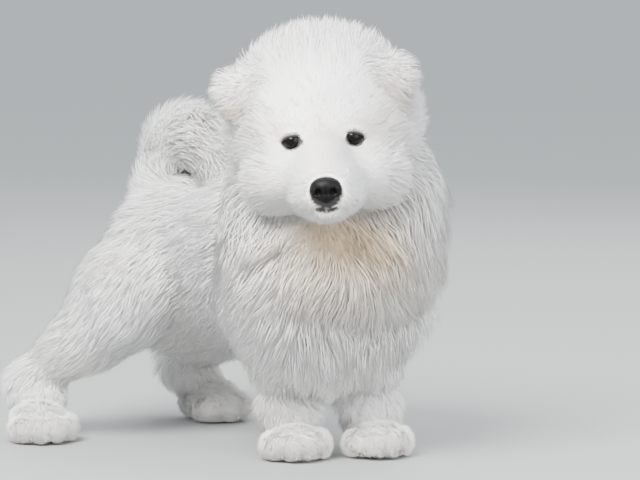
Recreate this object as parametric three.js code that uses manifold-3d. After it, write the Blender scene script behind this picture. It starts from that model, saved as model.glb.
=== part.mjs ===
// A samoyed puppy, about eight weeks old, as a still life-size model.
// Millimetres, +Z up. The puppy faces -Y, its right side is -X, and it stands on z = 0.
// The origin is the middle of the model's own box, at the floor.
import * as THREE from 'three';
import { mergeVertices } from 'three/addons/utils/BufferGeometryUtils.js';
import Module from 'manifold-3d';

const wasm = await Module();
wasm.setup();

// Driving dimensions
const PLAIN = false;
const GAP = 0.3;
const SHOULDER = new THREE.Vector3(0, 0, 128);
const CHEST_TURN = THREE.MathUtils.degToRad(-25);
const HIP_CENTRE = new THREE.Vector3(-14, 142, 120);
const HIP_TURN = THREE.MathUtils.degToRad(8);
const HEAD_CENTRE = new THREE.Vector3(-34, -43, 236);
const HEAD_YAW = THREE.MathUtils.degToRad(-38);
const HEAD_PITCH = THREE.MathUtils.degToRad(4);
const HEAD_ROLL = THREE.MathUtils.degToRad(3.6);
const SHOULDER_HALF = 36;
const HIP_HALF = 35;
const EYE_SPACING = 43;
const EYE_RADIUS = 8.2;
const CORE_SHARE = 0.45;
const SEED = 20240;
const FULL = PLAIN ? 1 : CORE_SHARE;

const COLOURS = {
  coat: 0xf3f1ea,
  nose: 0x151313,
  eye: 0x0d0a08,
};

// A seeded random stream between 0 and 1
let seedState = SEED;
function random() {
  seedState = (seedState * 1664525 + 1013904223) % 4294967296;
  return seedState / 4294967296;
}

function between(low, high) {
  return low + (high - low) * random();
}

// Plan directions of a body part that is turned by an angle: ahead of it and to its right
function ahead(turn) {
  return new THREE.Vector3(Math.sin(turn), -Math.cos(turn), 0);
}

function rightOf(turn) {
  return new THREE.Vector3(-Math.cos(turn), -Math.sin(turn), 0);
}

function place(centre, turn, forward, side, z) {
  const point = centre.clone();
  point.addScaledVector(ahead(turn), forward);
  point.addScaledVector(rightOf(turn), side);
  point.z = z;
  return point;
}

// Solids: a closed geometry to a solid and back
function toSolid(geometry) {
  const bare = geometry.clone();
  bare.deleteAttribute('normal');
  bare.deleteAttribute('uv');
  const merged = mergeVertices(bare, 1e-4);
  const index = merged.index.array;
  const kept = [];
  for (let i = 0; i < index.length; i += 3) {
    const [a, b, c] = [index[i], index[i + 1], index[i + 2]];
    if (a !== b && b !== c && a !== c) kept.push(a, b, c);
  }
  const mesh = new wasm.Mesh({
    numProp: 3,
    vertProperties: new Float32Array(merged.attributes.position.array),
    triVerts: new Uint32Array(kept),
  });
  return new wasm.Manifold(mesh);
}

function largestBody(solid) {
  let best = null;
  let bestVolume = -1;
  for (const piece of solid.decompose()) {
    const volume = piece.volume();
    if (volume > bestVolume) {
      best = piece;
      bestVolume = volume;
    }
  }
  return best;
}

function toGeometry(solid) {
  const mesh = largestBody(solid).getMesh();
  const geometry = new THREE.BufferGeometry();
  geometry.setAttribute('position', new THREE.BufferAttribute(Float32Array.from(mesh.vertProperties), 3));
  geometry.setIndex(new THREE.BufferAttribute(Uint32Array.from(mesh.triVerts), 1));
  geometry.computeVertexNormals();
  return geometry;
}

function joined(solids) {
  return solids.reduce((whole, piece) => whole.add(piece));
}

// A limb or trunk: an oval tube with round ends that follows a few stations.
// Each station holds its centre, half width, half height and the coat's depth there.
// Its rings are all square to one axis, so that they never cross where it bends.
class Limb {
  constructor(stations, axis, reference, capShare = 0.14) {
    this.centres = new THREE.CatmullRomCurve3(stations.map((s) => s.at));
    const radii = stations.map((s) => new THREE.Vector3(s.wide, s.high, s.coat));
    this.radii = new THREE.CatmullRomCurve3(radii);
    this.along = axis;
    this.side = new THREE.Vector3().crossVectors(axis, reference).normalize();
    this.up = new THREE.Vector3().crossVectors(this.side, axis).normalize();
    this.capShare = capShare;
    this.length = this.centres.getLength();
  }

  cap(share) {
    const near = Math.min(share, 1 - share) / this.capShare;
    return near >= 1 ? 1 : Math.sqrt(Math.max(0, 1 - (1 - near) ** 2));
  }

  // A point at a share of the length and an angle round it, where 90 degrees is the top.
  // Depth 0 is the skin and 1 the tips of the coat; extra is a further offset.
  point(share, angle, depth, extra = 0) {
    const t = THREE.MathUtils.clamp(share, 0, 1);
    const size = this.radii.getPoint(t);
    const cap = this.cap(t);
    const grown = size.z * depth + extra;
    const out = this.centres.getPoint(t);
    out.addScaledVector(this.side, Math.cos(angle) * (size.x + grown) * cap);
    out.addScaledVector(this.up, Math.sin(angle) * (size.y + grown) * cap);
    if (t < this.capShare) out.addScaledVector(this.along, -grown * (1 - t / this.capShare));
    if (t > 1 - this.capShare) out.addScaledVector(this.along, grown * (1 - (1 - t) / this.capShare));
    return out;
  }

  solid(depth, extra, sides, rings) {
    const geometry = new THREE.SphereGeometry(1, sides, rings);
    const position = geometry.attributes.position;
    for (let i = 0; i < position.count; i += 1) {
      const ring = Math.floor(i / (sides + 1));
      const even = ring / rings;
      const part = 0.6 * even + 0.2 * (1 - Math.cos(Math.PI * even));
      const angle = (2 * Math.PI * ((i % (sides + 1)) % sides)) / sides;
      const p = this.point(part, angle, depth, extra);
      position.setXYZ(i, p.x, p.y, p.z);
    }
    return outward(geometry);
  }
}

// A solid that always has its faces pointing out
function outward(geometry) {
  let solid = toSolid(geometry);
  if (solid.volume() < 0 || solid.numTri() === 0) {
    const index = geometry.index.array;
    for (let i = 0; i < index.length; i += 3) [index[i], index[i + 1]] = [index[i + 1], index[i]];
    solid = toSolid(geometry);
  }
  return solid;
}

function station(at, wide, high, coat) {
  return { at, wide, high, coat };
}

// An egg: a sphere with three half sizes, turned and placed in the head's own frame
function egg(x, y, z, wide, long, high, sides = 24, rings = 16) {
  const geometry = new THREE.SphereGeometry(1, sides, rings);
  geometry.rotateX(Math.PI / 2);
  geometry.scale(wide, long, high);
  geometry.translate(x, y, z);
  return geometry;
}

// One lock of the coat: a flat, tapered blade that leaves the core at its root,
// bends over and lies along the limb, out to the tips of the coat.
const LOCK_STEPS = 3;
const LOCK_WIDTH = [0.8, 1, 0.72, 0];
const LOCK_THICK = [1, 1, 0.7, 0];
const LOCK_DEPTH = [0.1, 0.64, 0.92, 1.04];

function lockSolid(path, width, thick, extra) {
  const geometry = new THREE.ConeGeometry(1, 1, 4, LOCK_STEPS);
  const position = geometry.attributes.position;
  for (let i = 0; i < position.count; i += 1) {
    const step = Math.round((position.getY(i) + 0.5) * LOCK_STEPS);
    const left = 1 - step / LOCK_STEPS;
    const spread = left > 0 ? left : 1;
    const { at, side, out, along } = path[step];
    const p = at.clone();
    const isTip = step === LOCK_STEPS;
    const isRim = Math.hypot(position.getX(i), position.getZ(i)) > 1e-6;
    if (isTip) p.addScaledVector(along, extra);
    else if (isRim) {
      p.addScaledVector(side, (position.getX(i) / spread) * (width * LOCK_WIDTH[step] * 0.5 + extra));
      p.addScaledVector(out, (position.getZ(i) / spread) * (thick * LOCK_THICK[step] * 0.5 + extra));
    }
    position.setXYZ(i, p.x, p.y, p.z);
  }
  return outward(geometry);
}

// The path of a lock on a limb. Drift turns it round the limb as it lies along it,
// and past the turn of the limb's round end it runs on straight.
const END_SHARE = 0.4;

function lockPath(limb, lock) {
  const points = [];
  const last = 1 - END_SHARE * limb.capShare;
  for (let step = 0; step <= LOCK_STEPS; step += 1) {
    const part = step / LOCK_STEPS;
    const wanted = lock.share + (lock.length / limb.length) * part;
    const share = Math.min(wanted, last);
    const excess = (wanted - share) * limb.length;
    const angle = lock.angle + lock.drift * part;
    const depth = LOCK_DEPTH[step] * (step === 0 ? 1 : lock.lift);
    const hub = limb.centres.getPoint(share).addScaledVector(limb.along, excess);
    points.push({ at: limb.point(share, angle, depth).addScaledVector(limb.along, excess), hub });
  }
  return points.map(({ at, hub }, step) => {
    const before = points[Math.max(step - 1, 0)].at;
    const after = points[Math.min(step + 1, LOCK_STEPS)].at;
    const along = after.clone().sub(before).normalize();
    const radial = at.clone().sub(hub);
    const side = new THREE.Vector3().crossVectors(radial, along).normalize();
    const out = new THREE.Vector3().crossVectors(along, side).normalize();
    return { at, side, out, along };
  });
}

function insideLimb(limb, point, share) {
  const samples = 16;
  for (let i = 0; i <= samples; i += 1) {
    const size = limb.radii.getPoint(i / samples);
    const reach = (size.x + size.y) / 2 + size.z * share;
    if (limb.centres.getPoint(i / samples).distanceTo(point) < reach) return true;
  }
  return false;
}

// Rows of locks on a limb, staggered and varied, between two shares of its length.
// Those that would run inside a limb to avoid, or below the floor, are left out.
function lockRows(limb, coat, avoid = []) {
  const locks = [];
  if (PLAIN) return locks;
  for (let row = 0; row < coat.rows; row += 1) {
    const share = coat.from + ((coat.to - coat.from) * row) / Math.max(coat.rows - 1, 1);
    for (let i = 0; i < coat.round; i += 1) {
      const stagger = (row % 2) * 0.5 + between(-0.12, 0.12);
      const angle = coat.start + ((i + stagger) / coat.round) * coat.turn;
      const fall = -Math.cos(angle) * coat.fall;
      const lock = {
        share: share + between(-0.012, 0.012),
        angle,
        length: coat.length * between(0.85, 1.12),
        width: coat.width * between(0.88, 1.1),
        thick: coat.thick,
        lift: between(0.92, 1.06),
        drift: fall + between(-0.08, 0.08),
      };
      const path = lockPath(limb, lock);
      const low = path.some(({ at }) => at.z < 2);
      const hidden = avoid.some((other) => insideLimb(other, path[2].at, CORE_SHARE)
        || insideLimb(other, path[LOCK_STEPS].at, CORE_SHARE));
      if (!low && !hidden) locks.push({ lock, path });
    }
  }
  return locks;
}

// The body's limbs, from the named sizes
const UP = new THREE.Vector3(0, 0, 1);
const DOWN = new THREE.Vector3(0, 0, -1);
const BACKWARD = new THREE.Vector3(0, 1, 0);
const FORWARD = new THREE.Vector3(0, -1, 0);
const HALF_TURN = Math.PI;
const FULL_TURN = 2 * Math.PI;

const torso = new Limb([
  station(place(SHOULDER, CHEST_TURN, 56, 0, 118), 40, 36, 28),
  station(place(SHOULDER, CHEST_TURN, 22, 0, 124), 56, 50, 32),
  station(place(SHOULDER, CHEST_TURN, -24, 0, 132), 54, 49, 28),
  station(new THREE.Vector3(4, 64, 132), 48, 46, 25),
  station(new THREE.Vector3(-3, 104, 126), 45, 43, 24),
  station(place(HIP_CENTRE, HIP_TURN, 0, 0, 121), 47, 45, 25),
  station(place(HIP_CENTRE, HIP_TURN, -32, 0, 116), 30, 33, 23),
], BACKWARD, UP);

const neck = new Limb([
  station(place(HEAD_CENTRE, CHEST_TURN, -18, 0, 242), 40, 34, 30),
  station(place(SHOULDER, CHEST_TURN, 22, 0, 196), 46, 40, 38),
  station(place(SHOULDER, CHEST_TURN, 26, 0, 152), 48, 42, 38),
  station(place(SHOULDER, CHEST_TURN, 34, 0, 112), 44, 36, 32),
], DOWN, BACKWARD, 0.2);

const tailRise = new Limb([
  station(place(HIP_CENTRE, HIP_TURN, -26, 0, 140), 10, 10, 13),
  station(place(HIP_CENTRE, HIP_TURN, -22, 0, 174), 9, 9, 17),
  station(place(HIP_CENTRE, HIP_TURN, -12, 0, 205), 8, 9, 19),
], UP, BACKWARD, 0.25);

const tailFall = new Limb([
  station(place(HIP_CENTRE, HIP_TURN, -22, 0, 202), 9, 12, 20),
  station(place(HIP_CENTRE, HIP_TURN, -2, 1, 212), 8, 9, 22),
  station(place(HIP_CENTRE, HIP_TURN, 22, 3, 210), 6, 8, 22),
  station(place(HIP_CENTRE, HIP_TURN, 44, 6, 194), 5, 8, 20),
  station(place(HIP_CENTRE, HIP_TURN, 56, 8, 178), 4, 8, 12),
], FORWARD, UP, 0.2);

function foreleg(side) {
  const lean = side > 0 ? -10 : -4;
  const top = place(SHOULDER, CHEST_TURN, 12, side * SHOULDER_HALF, 112);
  const elbow = place(SHOULDER, CHEST_TURN, 2, side * (SHOULDER_HALF - 2), 84);
  const wrist = place(SHOULDER, CHEST_TURN, 8, side * (SHOULDER_HALF + lean), 34);
  const paw = place(SHOULDER, CHEST_TURN, 14, side * (SHOULDER_HALF + lean), 16);
  return { top, elbow, wrist, paw, turn: CHEST_TURN };
}

const forelegs = { right: foreleg(1), left: foreleg(-1) };
const hindlegs = {
  right: {
    top: place(HIP_CENTRE, HIP_TURN, 0, HIP_HALF, 118),
    knee: place(HIP_CENTRE, HIP_TURN, -7, HIP_HALF + 28, 84),
    hock: place(HIP_CENTRE, HIP_TURN, -58, HIP_HALF + 57, 42),
    paw: place(HIP_CENTRE, HIP_TURN, -44, HIP_HALF + 72, 15),
    turn: THREE.MathUtils.degToRad(-18),
  },
  left: {
    top: place(HIP_CENTRE, HIP_TURN, 0, -HIP_HALF, 118),
    knee: place(HIP_CENTRE, HIP_TURN, 9, -HIP_HALF - 5, 82),
    hock: place(HIP_CENTRE, HIP_TURN, -44, -HIP_HALF - 8, 42),
    paw: place(HIP_CENTRE, HIP_TURN, -28, -HIP_HALF - 9, 15),
    turn: THREE.MathUtils.degToRad(10),
  },
};

function upperArm(leg) {
  return new Limb([
    station(leg.top, 26, 30, 16),
    station(leg.top.clone().lerp(leg.elbow, 0.5), 23, 27, 17),
    station(leg.elbow, 17, 20, 17),
    station(leg.elbow.clone().lerp(leg.wrist, 0.3), 14, 15, 14),
  ], DOWN, BACKWARD, 0.3);
}

function forearm(leg) {
  return new Limb([
    station(leg.elbow.clone().lerp(leg.wrist, 0.12), 15, 16, 13),
    station(leg.elbow.clone().lerp(leg.wrist, 0.55), 13.5, 14, 11),
    station(leg.wrist, 13.5, 14, 9),
    station(leg.wrist.clone().lerp(leg.paw, 0.7), 14, 15, 6),
  ], DOWN, BACKWARD, 0.2);
}

function thigh(leg) {
  return new Limb([
    station(leg.top, 30, 36, 20),
    station(leg.top.clone().lerp(leg.knee, 0.55), 28, 34, 20),
    station(leg.knee, 22, 26, 19),
    station(leg.knee.clone().lerp(leg.hock, 0.35), 16, 19, 17),
  ], DOWN, BACKWARD, 0.4);
}

function shank(leg) {
  return new Limb([
    station(leg.knee.clone().lerp(leg.hock, 0.1), 18, 21, 17),
    station(leg.knee.clone().lerp(leg.hock, 0.6), 14, 16, 15),
    station(leg.hock, 12.5, 14, 12),
    station(leg.hock.clone().lerp(leg.paw, 0.75), 13, 14, 8),
  ], DOWN, BACKWARD, 0.2);
}

// A paw: the heel and four toes in a fan, each with its claw, cut flat at the floor
const TOES = [
  { x: -13, y: -16, r: 8.2 },
  { x: -4.6, y: -22, r: 8.8 },
  { x: 4.6, y: -22, r: 8.8 },
  { x: 13, y: -16, r: 8.2 },
];
const PAW_COAT = 2.5;

function paw(leg, extra) {
  const grow = PAW_COAT + extra;
  const parts = [egg(0, -4, 14, 16 + grow, 21 + grow, 14 + grow, 10, 6)];
  for (const toe of TOES) {
    parts.push(egg(toe.x, toe.y, 9.5, toe.r + grow, toe.r * 1.35 + grow, toe.r * 1.05 + grow, 7, 5));
    const claw = new THREE.ConeGeometry(1.8 + extra, 9, 4);
    claw.rotateX(Math.PI * 0.58);
    claw.translate(toe.x, toe.y - toe.r * 1.35 - grow - 1.5, 7);
    parts.push(claw);
  }
  const floor = new THREE.BoxGeometry(120, 120, 40);
  floor.translate(0, 0, -20);
  const geometry = toGeometry(joined(parts.map(outward)).subtract(toSolid(floor)));
  geometry.rotateZ(leg.turn);
  geometry.translate(leg.paw.x, leg.paw.y, 0);
  return toSolid(geometry);
}

// The head in its own frame: origin in the middle of the skull, facing -Y
const headMatrix = new THREE.Matrix4().makeTranslation(HEAD_CENTRE.x, HEAD_CENTRE.y, HEAD_CENTRE.z);
headMatrix.multiply(new THREE.Matrix4().makeRotationZ(HEAD_YAW));
headMatrix.multiply(new THREE.Matrix4().makeRotationX(HEAD_PITCH));
headMatrix.multiply(new THREE.Matrix4().makeRotationY(-HEAD_ROLL));

const EYE = { x: EYE_SPACING / 2, y: -37, z: -9 };
const NOSE = { x: 0, y: -78, z: -40 };
const LID = 2.4;
const MOUTH = { y: -73, z: -57, corner: 24, groove: 1.1 };
const EARS = {
  right: { side: -1, x: 53, y: -13, z: 20 },
  left: { side: 1, x: 47, y: -13, z: 24 },
};

const skull = new Limb([
  station(new THREE.Vector3(0, -43, -8), 34, 30, 6),
  station(new THREE.Vector3(0, -14, -4), 48, 46, 16),
  station(new THREE.Vector3(0, 14, -3), 51, 49, 22),
  station(new THREE.Vector3(0, 44, -8), 36, 38, 24),
], BACKWARD, UP);

// The muzzle, its pads, the jaw and the lids that stand out from the skull
function faceForms(extra) {
  const forms = [
    egg(0, -46, -37, 27 + extra, 34 + extra, 19 + extra, 14, 10),
    egg(0, -52, -57, 16 + extra, 20 + extra, 9 + extra, 12, 8),
  ];
  for (const side of [-1, 1]) {
    forms.push(egg(side * 12, -60, -46, 15 + extra, 18 + extra, 12 + extra, 10, 7));
    const lid = EYE_RADIUS + LID + extra;
    forms.push(egg(side * EYE.x, EYE.y + 1, EYE.z, lid + 2, lid, lid, 10, 7));
  }
  return forms.map(outward);
}

function groove(points, radius) {
  const shape = new THREE.Shape(new THREE.EllipseCurve(0, 0, radius, radius).getPoints(5));
  const extrudePath = new THREE.CatmullRomCurve3(points);
  return outward(new THREE.ExtrudeGeometry(shape, { extrudePath, steps: 6, bevelEnabled: false }));
}

// What is cut from the face: the slit between the lids, the line of the mouth and the philtrum
function faceCuts() {
  const cuts = [];
  for (const side of [-1, 1]) {
    const slit = egg(0, 0, 0, 6.8, 12, 4.9, 10, 6);
    slit.rotateY(side * THREE.MathUtils.degToRad(-8));
    slit.translate(side * EYE.x, EYE.y - 10, EYE.z);
    cuts.push(outward(slit));
  }
  cuts.push(groove([
    new THREE.Vector3(-MOUTH.corner, MOUTH.y + 26, MOUTH.z + 6),
    new THREE.Vector3(-MOUTH.corner * 0.6, MOUTH.y + 2, MOUTH.z),
    new THREE.Vector3(0, MOUTH.y - 4, MOUTH.z + 3),
    new THREE.Vector3(MOUTH.corner * 0.6, MOUTH.y + 2, MOUTH.z),
    new THREE.Vector3(MOUTH.corner, MOUTH.y + 26, MOUTH.z + 6),
  ], MOUTH.groove));
  return cuts;
}

function headCore(extra) {
  const core = joined([skull.solid(FULL, extra, 16, 10), ...faceForms(extra)]);
  return extra > 0 ? core : faceCuts().reduce((whole, cut) => whole.subtract(cut), core);
}

// The skull's locks, turned into the world with the head
function skullLocks() {
  const locks = lockRows(skull, {
    rows: 2, round: 8, from: 0.28, to: 0.54, start: -0.25 * HALF_TURN, turn: 1.5 * HALF_TURN,
    length: 44, width: 31, thick: 5, fall: 0.12,
  });
  const turn = new THREE.Quaternion().setFromRotationMatrix(headMatrix);
  for (const { path } of locks) {
    for (const step of path) {
      step.at.applyMatrix4(headMatrix);
      for (const direction of [step.side, step.out, step.along]) direction.applyQuaternion(turn);
    }
  }
  return locks;
}

function eyeSolid(side, extra) {
  const radius = EYE_RADIUS + extra;
  return outward(egg(side * EYE.x, EYE.y, EYE.z, radius, radius, radius, 12, 8));
}

function noseSolid(extra) {
  const pad = outward(egg(0, NOSE.y + 3, NOSE.z, 10.8 + extra, 8 + extra, 8.2 + extra, 12, 9));
  const keel = outward(egg(0, NOSE.y + 3, NOSE.z - 4, 6 + extra, 6.5 + extra, 6.5 + extra, 10, 6));
  const whole = pad.add(keel);
  if (extra > 0) return whole;
  return [-1, 1].reduce((solid, side) => {
    return solid.subtract(outward(egg(side * 5.4, NOSE.y - 5.5, NOSE.z - 0.5, 2, 4, 2.6, 6, 4)));
  }, whole);
}

// An ear: a thick soft flap that leans forward and out, with its cup on the front
function earSolid(ear, extra) {
  const grow = 7 * FULL + extra;
  const flap = egg(0, 0, 0, 13 + grow, 6 + grow, 18 + grow, 12, 8);
  const cup = egg(ear.side * 2, -8 - grow, -4, 8, 8, 12, 8, 6);
  const turned = (geometry) => {
    geometry.rotateY(ear.side * THREE.MathUtils.degToRad(40));
    geometry.rotateX(THREE.MathUtils.degToRad(-14));
    geometry.translate(ear.side * ear.x, ear.y, ear.z);
    return outward(geometry);
  };
  const whole = turned(flap);
  return extra > 0 ? whole : whole.subtract(turned(cup));
}

function inWorld(solid) {
  const geometry = toGeometry(solid);
  geometry.applyMatrix4(headMatrix);
  return toSolid(geometry);
}

// Parting: the nodes in order, each core cut clear of those before it
const nodes = [];

function addNode(name, colour, core, locks = []) {
  nodes.push({ name, colour, core, locks });
}

function addLimb(name, limb, sides, rings, locks) {
  addNode(name, COLOURS.coat, (extra) => limb.solid(FULL, extra, sides, rings), locks);
}

addNode('eye_right', COLOURS.eye, (extra) => inWorld(eyeSolid(-1, extra)));
addNode('eye_left', COLOURS.eye, (extra) => inWorld(eyeSolid(1, extra)));
addNode('nose', COLOURS.nose, (extra) => inWorld(noseSolid(extra)));
addNode('ear_right', COLOURS.coat, (extra) => inWorld(earSolid(EARS.right, extra)));
addNode('ear_left', COLOURS.coat, (extra) => inWorld(earSolid(EARS.left, extra)));
addNode('head', COLOURS.coat, (extra) => inWorld(headCore(extra)), skullLocks());

addLimb('neck', neck, 16, 10, lockRows(neck, {
  rows: 4, round: 8, from: 0.2, to: 0.76, start: 0, turn: FULL_TURN,
  length: 50, width: 44, thick: 5, fall: 0,
}));

const tailLocks = [
  ...lockRows(tailRise, {
    rows: 1, round: 5, from: 0.34, to: 0.34, start: 0, turn: FULL_TURN,
    length: 46, width: 26, thick: 4.5, fall: 0,
  }, [torso]),
  ...lockRows(tailFall, {
    rows: 3, round: 5, from: 0.12, to: 0.62, start: 0, turn: FULL_TURN,
    length: 44, width: 25, thick: 4.5, fall: 0,
  }, [torso]),
];
addNode('tail', COLOURS.coat, (extra) => {
  return tailRise.solid(FULL, extra, 10, 6).add(tailFall.solid(FULL, extra, 10, 8));
}, tailLocks);

const arms = [upperArm(forelegs.right), upperArm(forelegs.left)];
const thighs = [thigh(hindlegs.right), thigh(hindlegs.left)];
addLimb('torso', torso, 18, 14, lockRows(torso, {
  rows: 4, round: 9, from: 0.12, to: 0.68, start: 0, turn: FULL_TURN,
  length: 78, width: 46, thick: 5, fall: 0.2,
}, [neck, tailRise, ...arms, ...thighs]));

// Each leg's coat is on its outer side; the inner sides are hidden and short haired
const OUTER_TURN = THREE.MathUtils.degToRad(190);
const OUTER_START = {
  right: THREE.MathUtils.degToRad(95),
  left: THREE.MathUtils.degToRad(-85),
};
for (const side of ['right', 'left']) {
  const start = OUTER_START[side];
  const which = side === 'right' ? 0 : 1;
  const shin = forearm(forelegs[side]);
  addLimb(`upper_arm_${side}`, arms[which], 10, 7, lockRows(arms[which], {
    rows: 1, round: 3, from: 0.22, to: 0.22, start, turn: OUTER_TURN,
    length: 36, width: 28, thick: 5, fall: 0,
  }, [torso]));
  addLimb(`forearm_${side}`, shin, 10, 7, lockRows(shin, {
    rows: 1, round: 5, from: 0.3, to: 0.3, start: 0, turn: FULL_TURN,
    length: 30, width: 20, thick: 4, fall: 0,
  }));
  addNode(`forepaw_${side}`, COLOURS.coat, (extra) => paw(forelegs[side], extra));
}
for (const side of ['right', 'left']) {
  const start = OUTER_START[side];
  const which = side === 'right' ? 0 : 1;
  const lower = shank(hindlegs[side]);
  addLimb(`thigh_${side}`, thighs[which], 12, 8, lockRows(thighs[which], {
    rows: 2, round: 3, from: 0.15, to: 0.48, start, turn: OUTER_TURN,
    length: 40, width: 42, thick: 5, fall: 0,
  }, [torso]));
  addLimb(`shank_${side}`, lower, 10, 7, lockRows(lower, {
    rows: 1, round: 5, from: 0.34, to: 0.34, start: 0, turn: FULL_TURN,
    length: 40, width: 26, thick: 4.5, fall: 0,
  }));
  addNode(`hind_paw_${side}`, COLOURS.coat, (extra) => paw(hindlegs[side], extra));
}

function overlaps(a, b) {
  return a.intersect(b).volume() > 0;
}

// A lock is trimmed clear of every other node's core, and of the locks of nodes before it
function trimmed(entry, node, others, placed) {
  let solid = lockSolid(entry.path, entry.lock.width, entry.lock.thick, 0);
  for (const other of others) {
    if (other !== node && overlaps(solid, other.grown)) solid = solid.subtract(other.grown);
  }
  for (const before of placed) {
    if (before.node !== node && overlaps(solid, before.grown)) solid = solid.subtract(before.grown);
  }
  return solid;
}

for (const node of nodes) {
  node.grown = node.core(GAP);
}
const placed = [];
for (const [order, node] of nodes.entries()) {
  let solid = node.core(0);
  for (const earlier of nodes.slice(0, order)) {
    if (overlaps(solid, earlier.grown)) solid = solid.subtract(earlier.grown);
  }
  for (const entry of node.locks) {
    solid = solid.add(trimmed(entry, node, nodes, placed));
  }
  for (const entry of node.locks) {
    placed.push({ node, grown: lockSolid(entry.path, entry.lock.width, entry.lock.thick, GAP) });
  }
  node.solid = solid;
}

// The scene graph: one group for the body, set with the middle of its box at the origin
const group = new THREE.Group();
const puppy = new THREE.Group();
group.add(puppy);
const box = new THREE.Box3();
for (const node of nodes) {
  const geometry = toGeometry(node.solid);
  geometry.computeBoundingBox();
  box.union(geometry.boundingBox);
  const glossy = node.colour !== COLOURS.coat;
  const material = new THREE.MeshStandardMaterial({
    color: node.colour,
    roughness: glossy ? 0.2 : 0.9,
    metalness: 0,
  });
  const mesh = new THREE.Mesh(geometry, material);
  mesh.name = node.name;
  puppy.add(mesh);
}
const middle = box.getCenter(new THREE.Vector3());
puppy.position.set(-middle.x, -middle.y, 0);

export default group;
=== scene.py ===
"""The looks of a samoyed puppy, a still life-size model, around its fixed frame.

Metres, +Z up. The puppy faces -Y, its right side is -X, and it stands on z = 0.
"""

import math

import bpy
import numpy as np
from mathutils import Matrix, Vector
from mathutils.bvhtree import BVHTree
from mathutils.kdtree import KDTree


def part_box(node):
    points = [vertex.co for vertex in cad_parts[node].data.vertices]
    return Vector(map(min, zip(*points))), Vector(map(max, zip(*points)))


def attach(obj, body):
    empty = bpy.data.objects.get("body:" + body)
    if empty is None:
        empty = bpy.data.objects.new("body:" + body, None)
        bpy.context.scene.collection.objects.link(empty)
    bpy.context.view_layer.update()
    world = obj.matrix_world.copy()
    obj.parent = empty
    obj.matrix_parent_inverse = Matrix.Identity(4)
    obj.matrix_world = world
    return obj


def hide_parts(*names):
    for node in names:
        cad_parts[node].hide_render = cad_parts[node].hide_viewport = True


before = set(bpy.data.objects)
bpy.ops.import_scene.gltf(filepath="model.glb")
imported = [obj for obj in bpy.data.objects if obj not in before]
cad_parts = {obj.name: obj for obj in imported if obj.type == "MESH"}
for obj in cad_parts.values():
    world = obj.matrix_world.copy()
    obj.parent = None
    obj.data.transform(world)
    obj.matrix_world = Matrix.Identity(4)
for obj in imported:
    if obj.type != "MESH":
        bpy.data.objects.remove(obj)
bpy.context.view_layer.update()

bl_info = {
    "name": "Samoyed puppy",
    "version": (1, 0, 0),
    "blender": (4, 5, 0),
    "location": "View3D > Sidebar > Puppy",
    "description": "Builds the skin, coat, face and claws of a samoyed puppy around its frame",
    "category": "Add Mesh",
}

MM = 0.001
SEED = 41

# The head's own frame: origin in the middle of the skull, facing -Y, turned and set on the neck
HEAD_CENTRE = Vector((-34, -43, 236)) * MM
HEAD_YAW = math.radians(-38)
HEAD_PITCH = math.radians(4)
HEAD_ROLL = math.radians(3.6)
EYE = Vector((21.5, -37, -9)) * MM
EYE_RADIUS = 8.2 * MM
NOSE = Vector((0, -75, -40)) * MM
# Each ear's side, 1 for the puppy's left, and its middle in millimetres
EARS = ((-1, (-53, -13, 20)), (1, (47, -13, 24)))
# The points of the lips and the philtrum on the skin, which find_mouth fills in
MOUTH = {}

# The body's own frame
SHOULDER = Vector((0, 0, 128)) * MM
CHEST_TURN = math.radians(-25)
HIP_CENTRE = Vector((-14, 142, 120)) * MM
HIP_TURN = math.radians(8)
SHOULDER_HALF = 36 * MM
HIP_HALF = 35 * MM
CHEST = (SHOULDER, CHEST_TURN)
HIPS = (HIP_CENTRE, HIP_TURN)
# The share of the coat's depth that the skin stands out by
SKIN_SHARE = 0.4

HEAD = (
    Matrix.Translation(HEAD_CENTRE)
    @ Matrix.Rotation(HEAD_YAW, 4, "Z")
    @ Matrix.Rotation(HEAD_PITCH, 4, "X")
    @ Matrix.Rotation(-HEAD_ROLL, 4, "Y")
)


def frame_shift():
    """How far the frame's own origin lies from the one that the sizes above are given in."""
    low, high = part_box("eye_left")
    return (low + high) / 2 - HEAD @ EYE


SHIFT = frame_shift()
SHIFT.z = 0.0
HEAD = Matrix.Translation(SHIFT) @ HEAD

FLESH_NODES = (
    "head", "neck", "torso", "tail", "ear_right", "ear_left",
    "upper_arm_right", "upper_arm_left", "forearm_right", "forearm_left",
    "forepaw_right", "forepaw_left", "thigh_right", "thigh_left",
    "shank_right", "shank_left", "hind_paw_right", "hind_paw_left",
)


# Small helpers for arrays of points

def unit(vectors):
    """Vectors of length one, along the last axis."""
    size = np.linalg.norm(vectors, axis=-1, keepdims=True)
    return vectors / np.maximum(size, 1e-12)


def smooth(low, high, value):
    """A smooth step from 0 at low to 1 at high."""
    t = np.clip((value - low) / (high - low), 0.0, 1.0)
    return t * t * (3 - 2 * t)


def wander(points, size, seed):
    """A soft seeded field between about -1 and 1 that changes over distances of size."""
    rng = np.random.default_rng(seed)
    total = np.zeros(len(points))
    waves = 7
    for _ in range(waves):
        direction = unit(rng.normal(size=3))
        phase = rng.uniform(0, 2 * math.pi)
        scale = rng.uniform(0.7, 1.5) * 2 * math.pi / size
        total += np.sin(points @ direction * scale + phase)
    return total / math.sqrt(waves)


def to_world(matrix, points):
    """Points moved by a 4 x 4 matrix."""
    m = np.array(matrix)
    return points @ m[:3, :3].T + m[:3, 3]


def to_head(points):
    """World points in the head's own frame."""
    return to_world(HEAD.inverted(), points)


def ahead(turn):
    """The way forward at a turn about the vertical."""
    return Vector((math.sin(turn), -math.cos(turn), 0))


def right_of(turn):
    """The way to the puppy's right at a turn about the vertical."""
    return Vector((-math.cos(turn), -math.sin(turn), 0))


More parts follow.
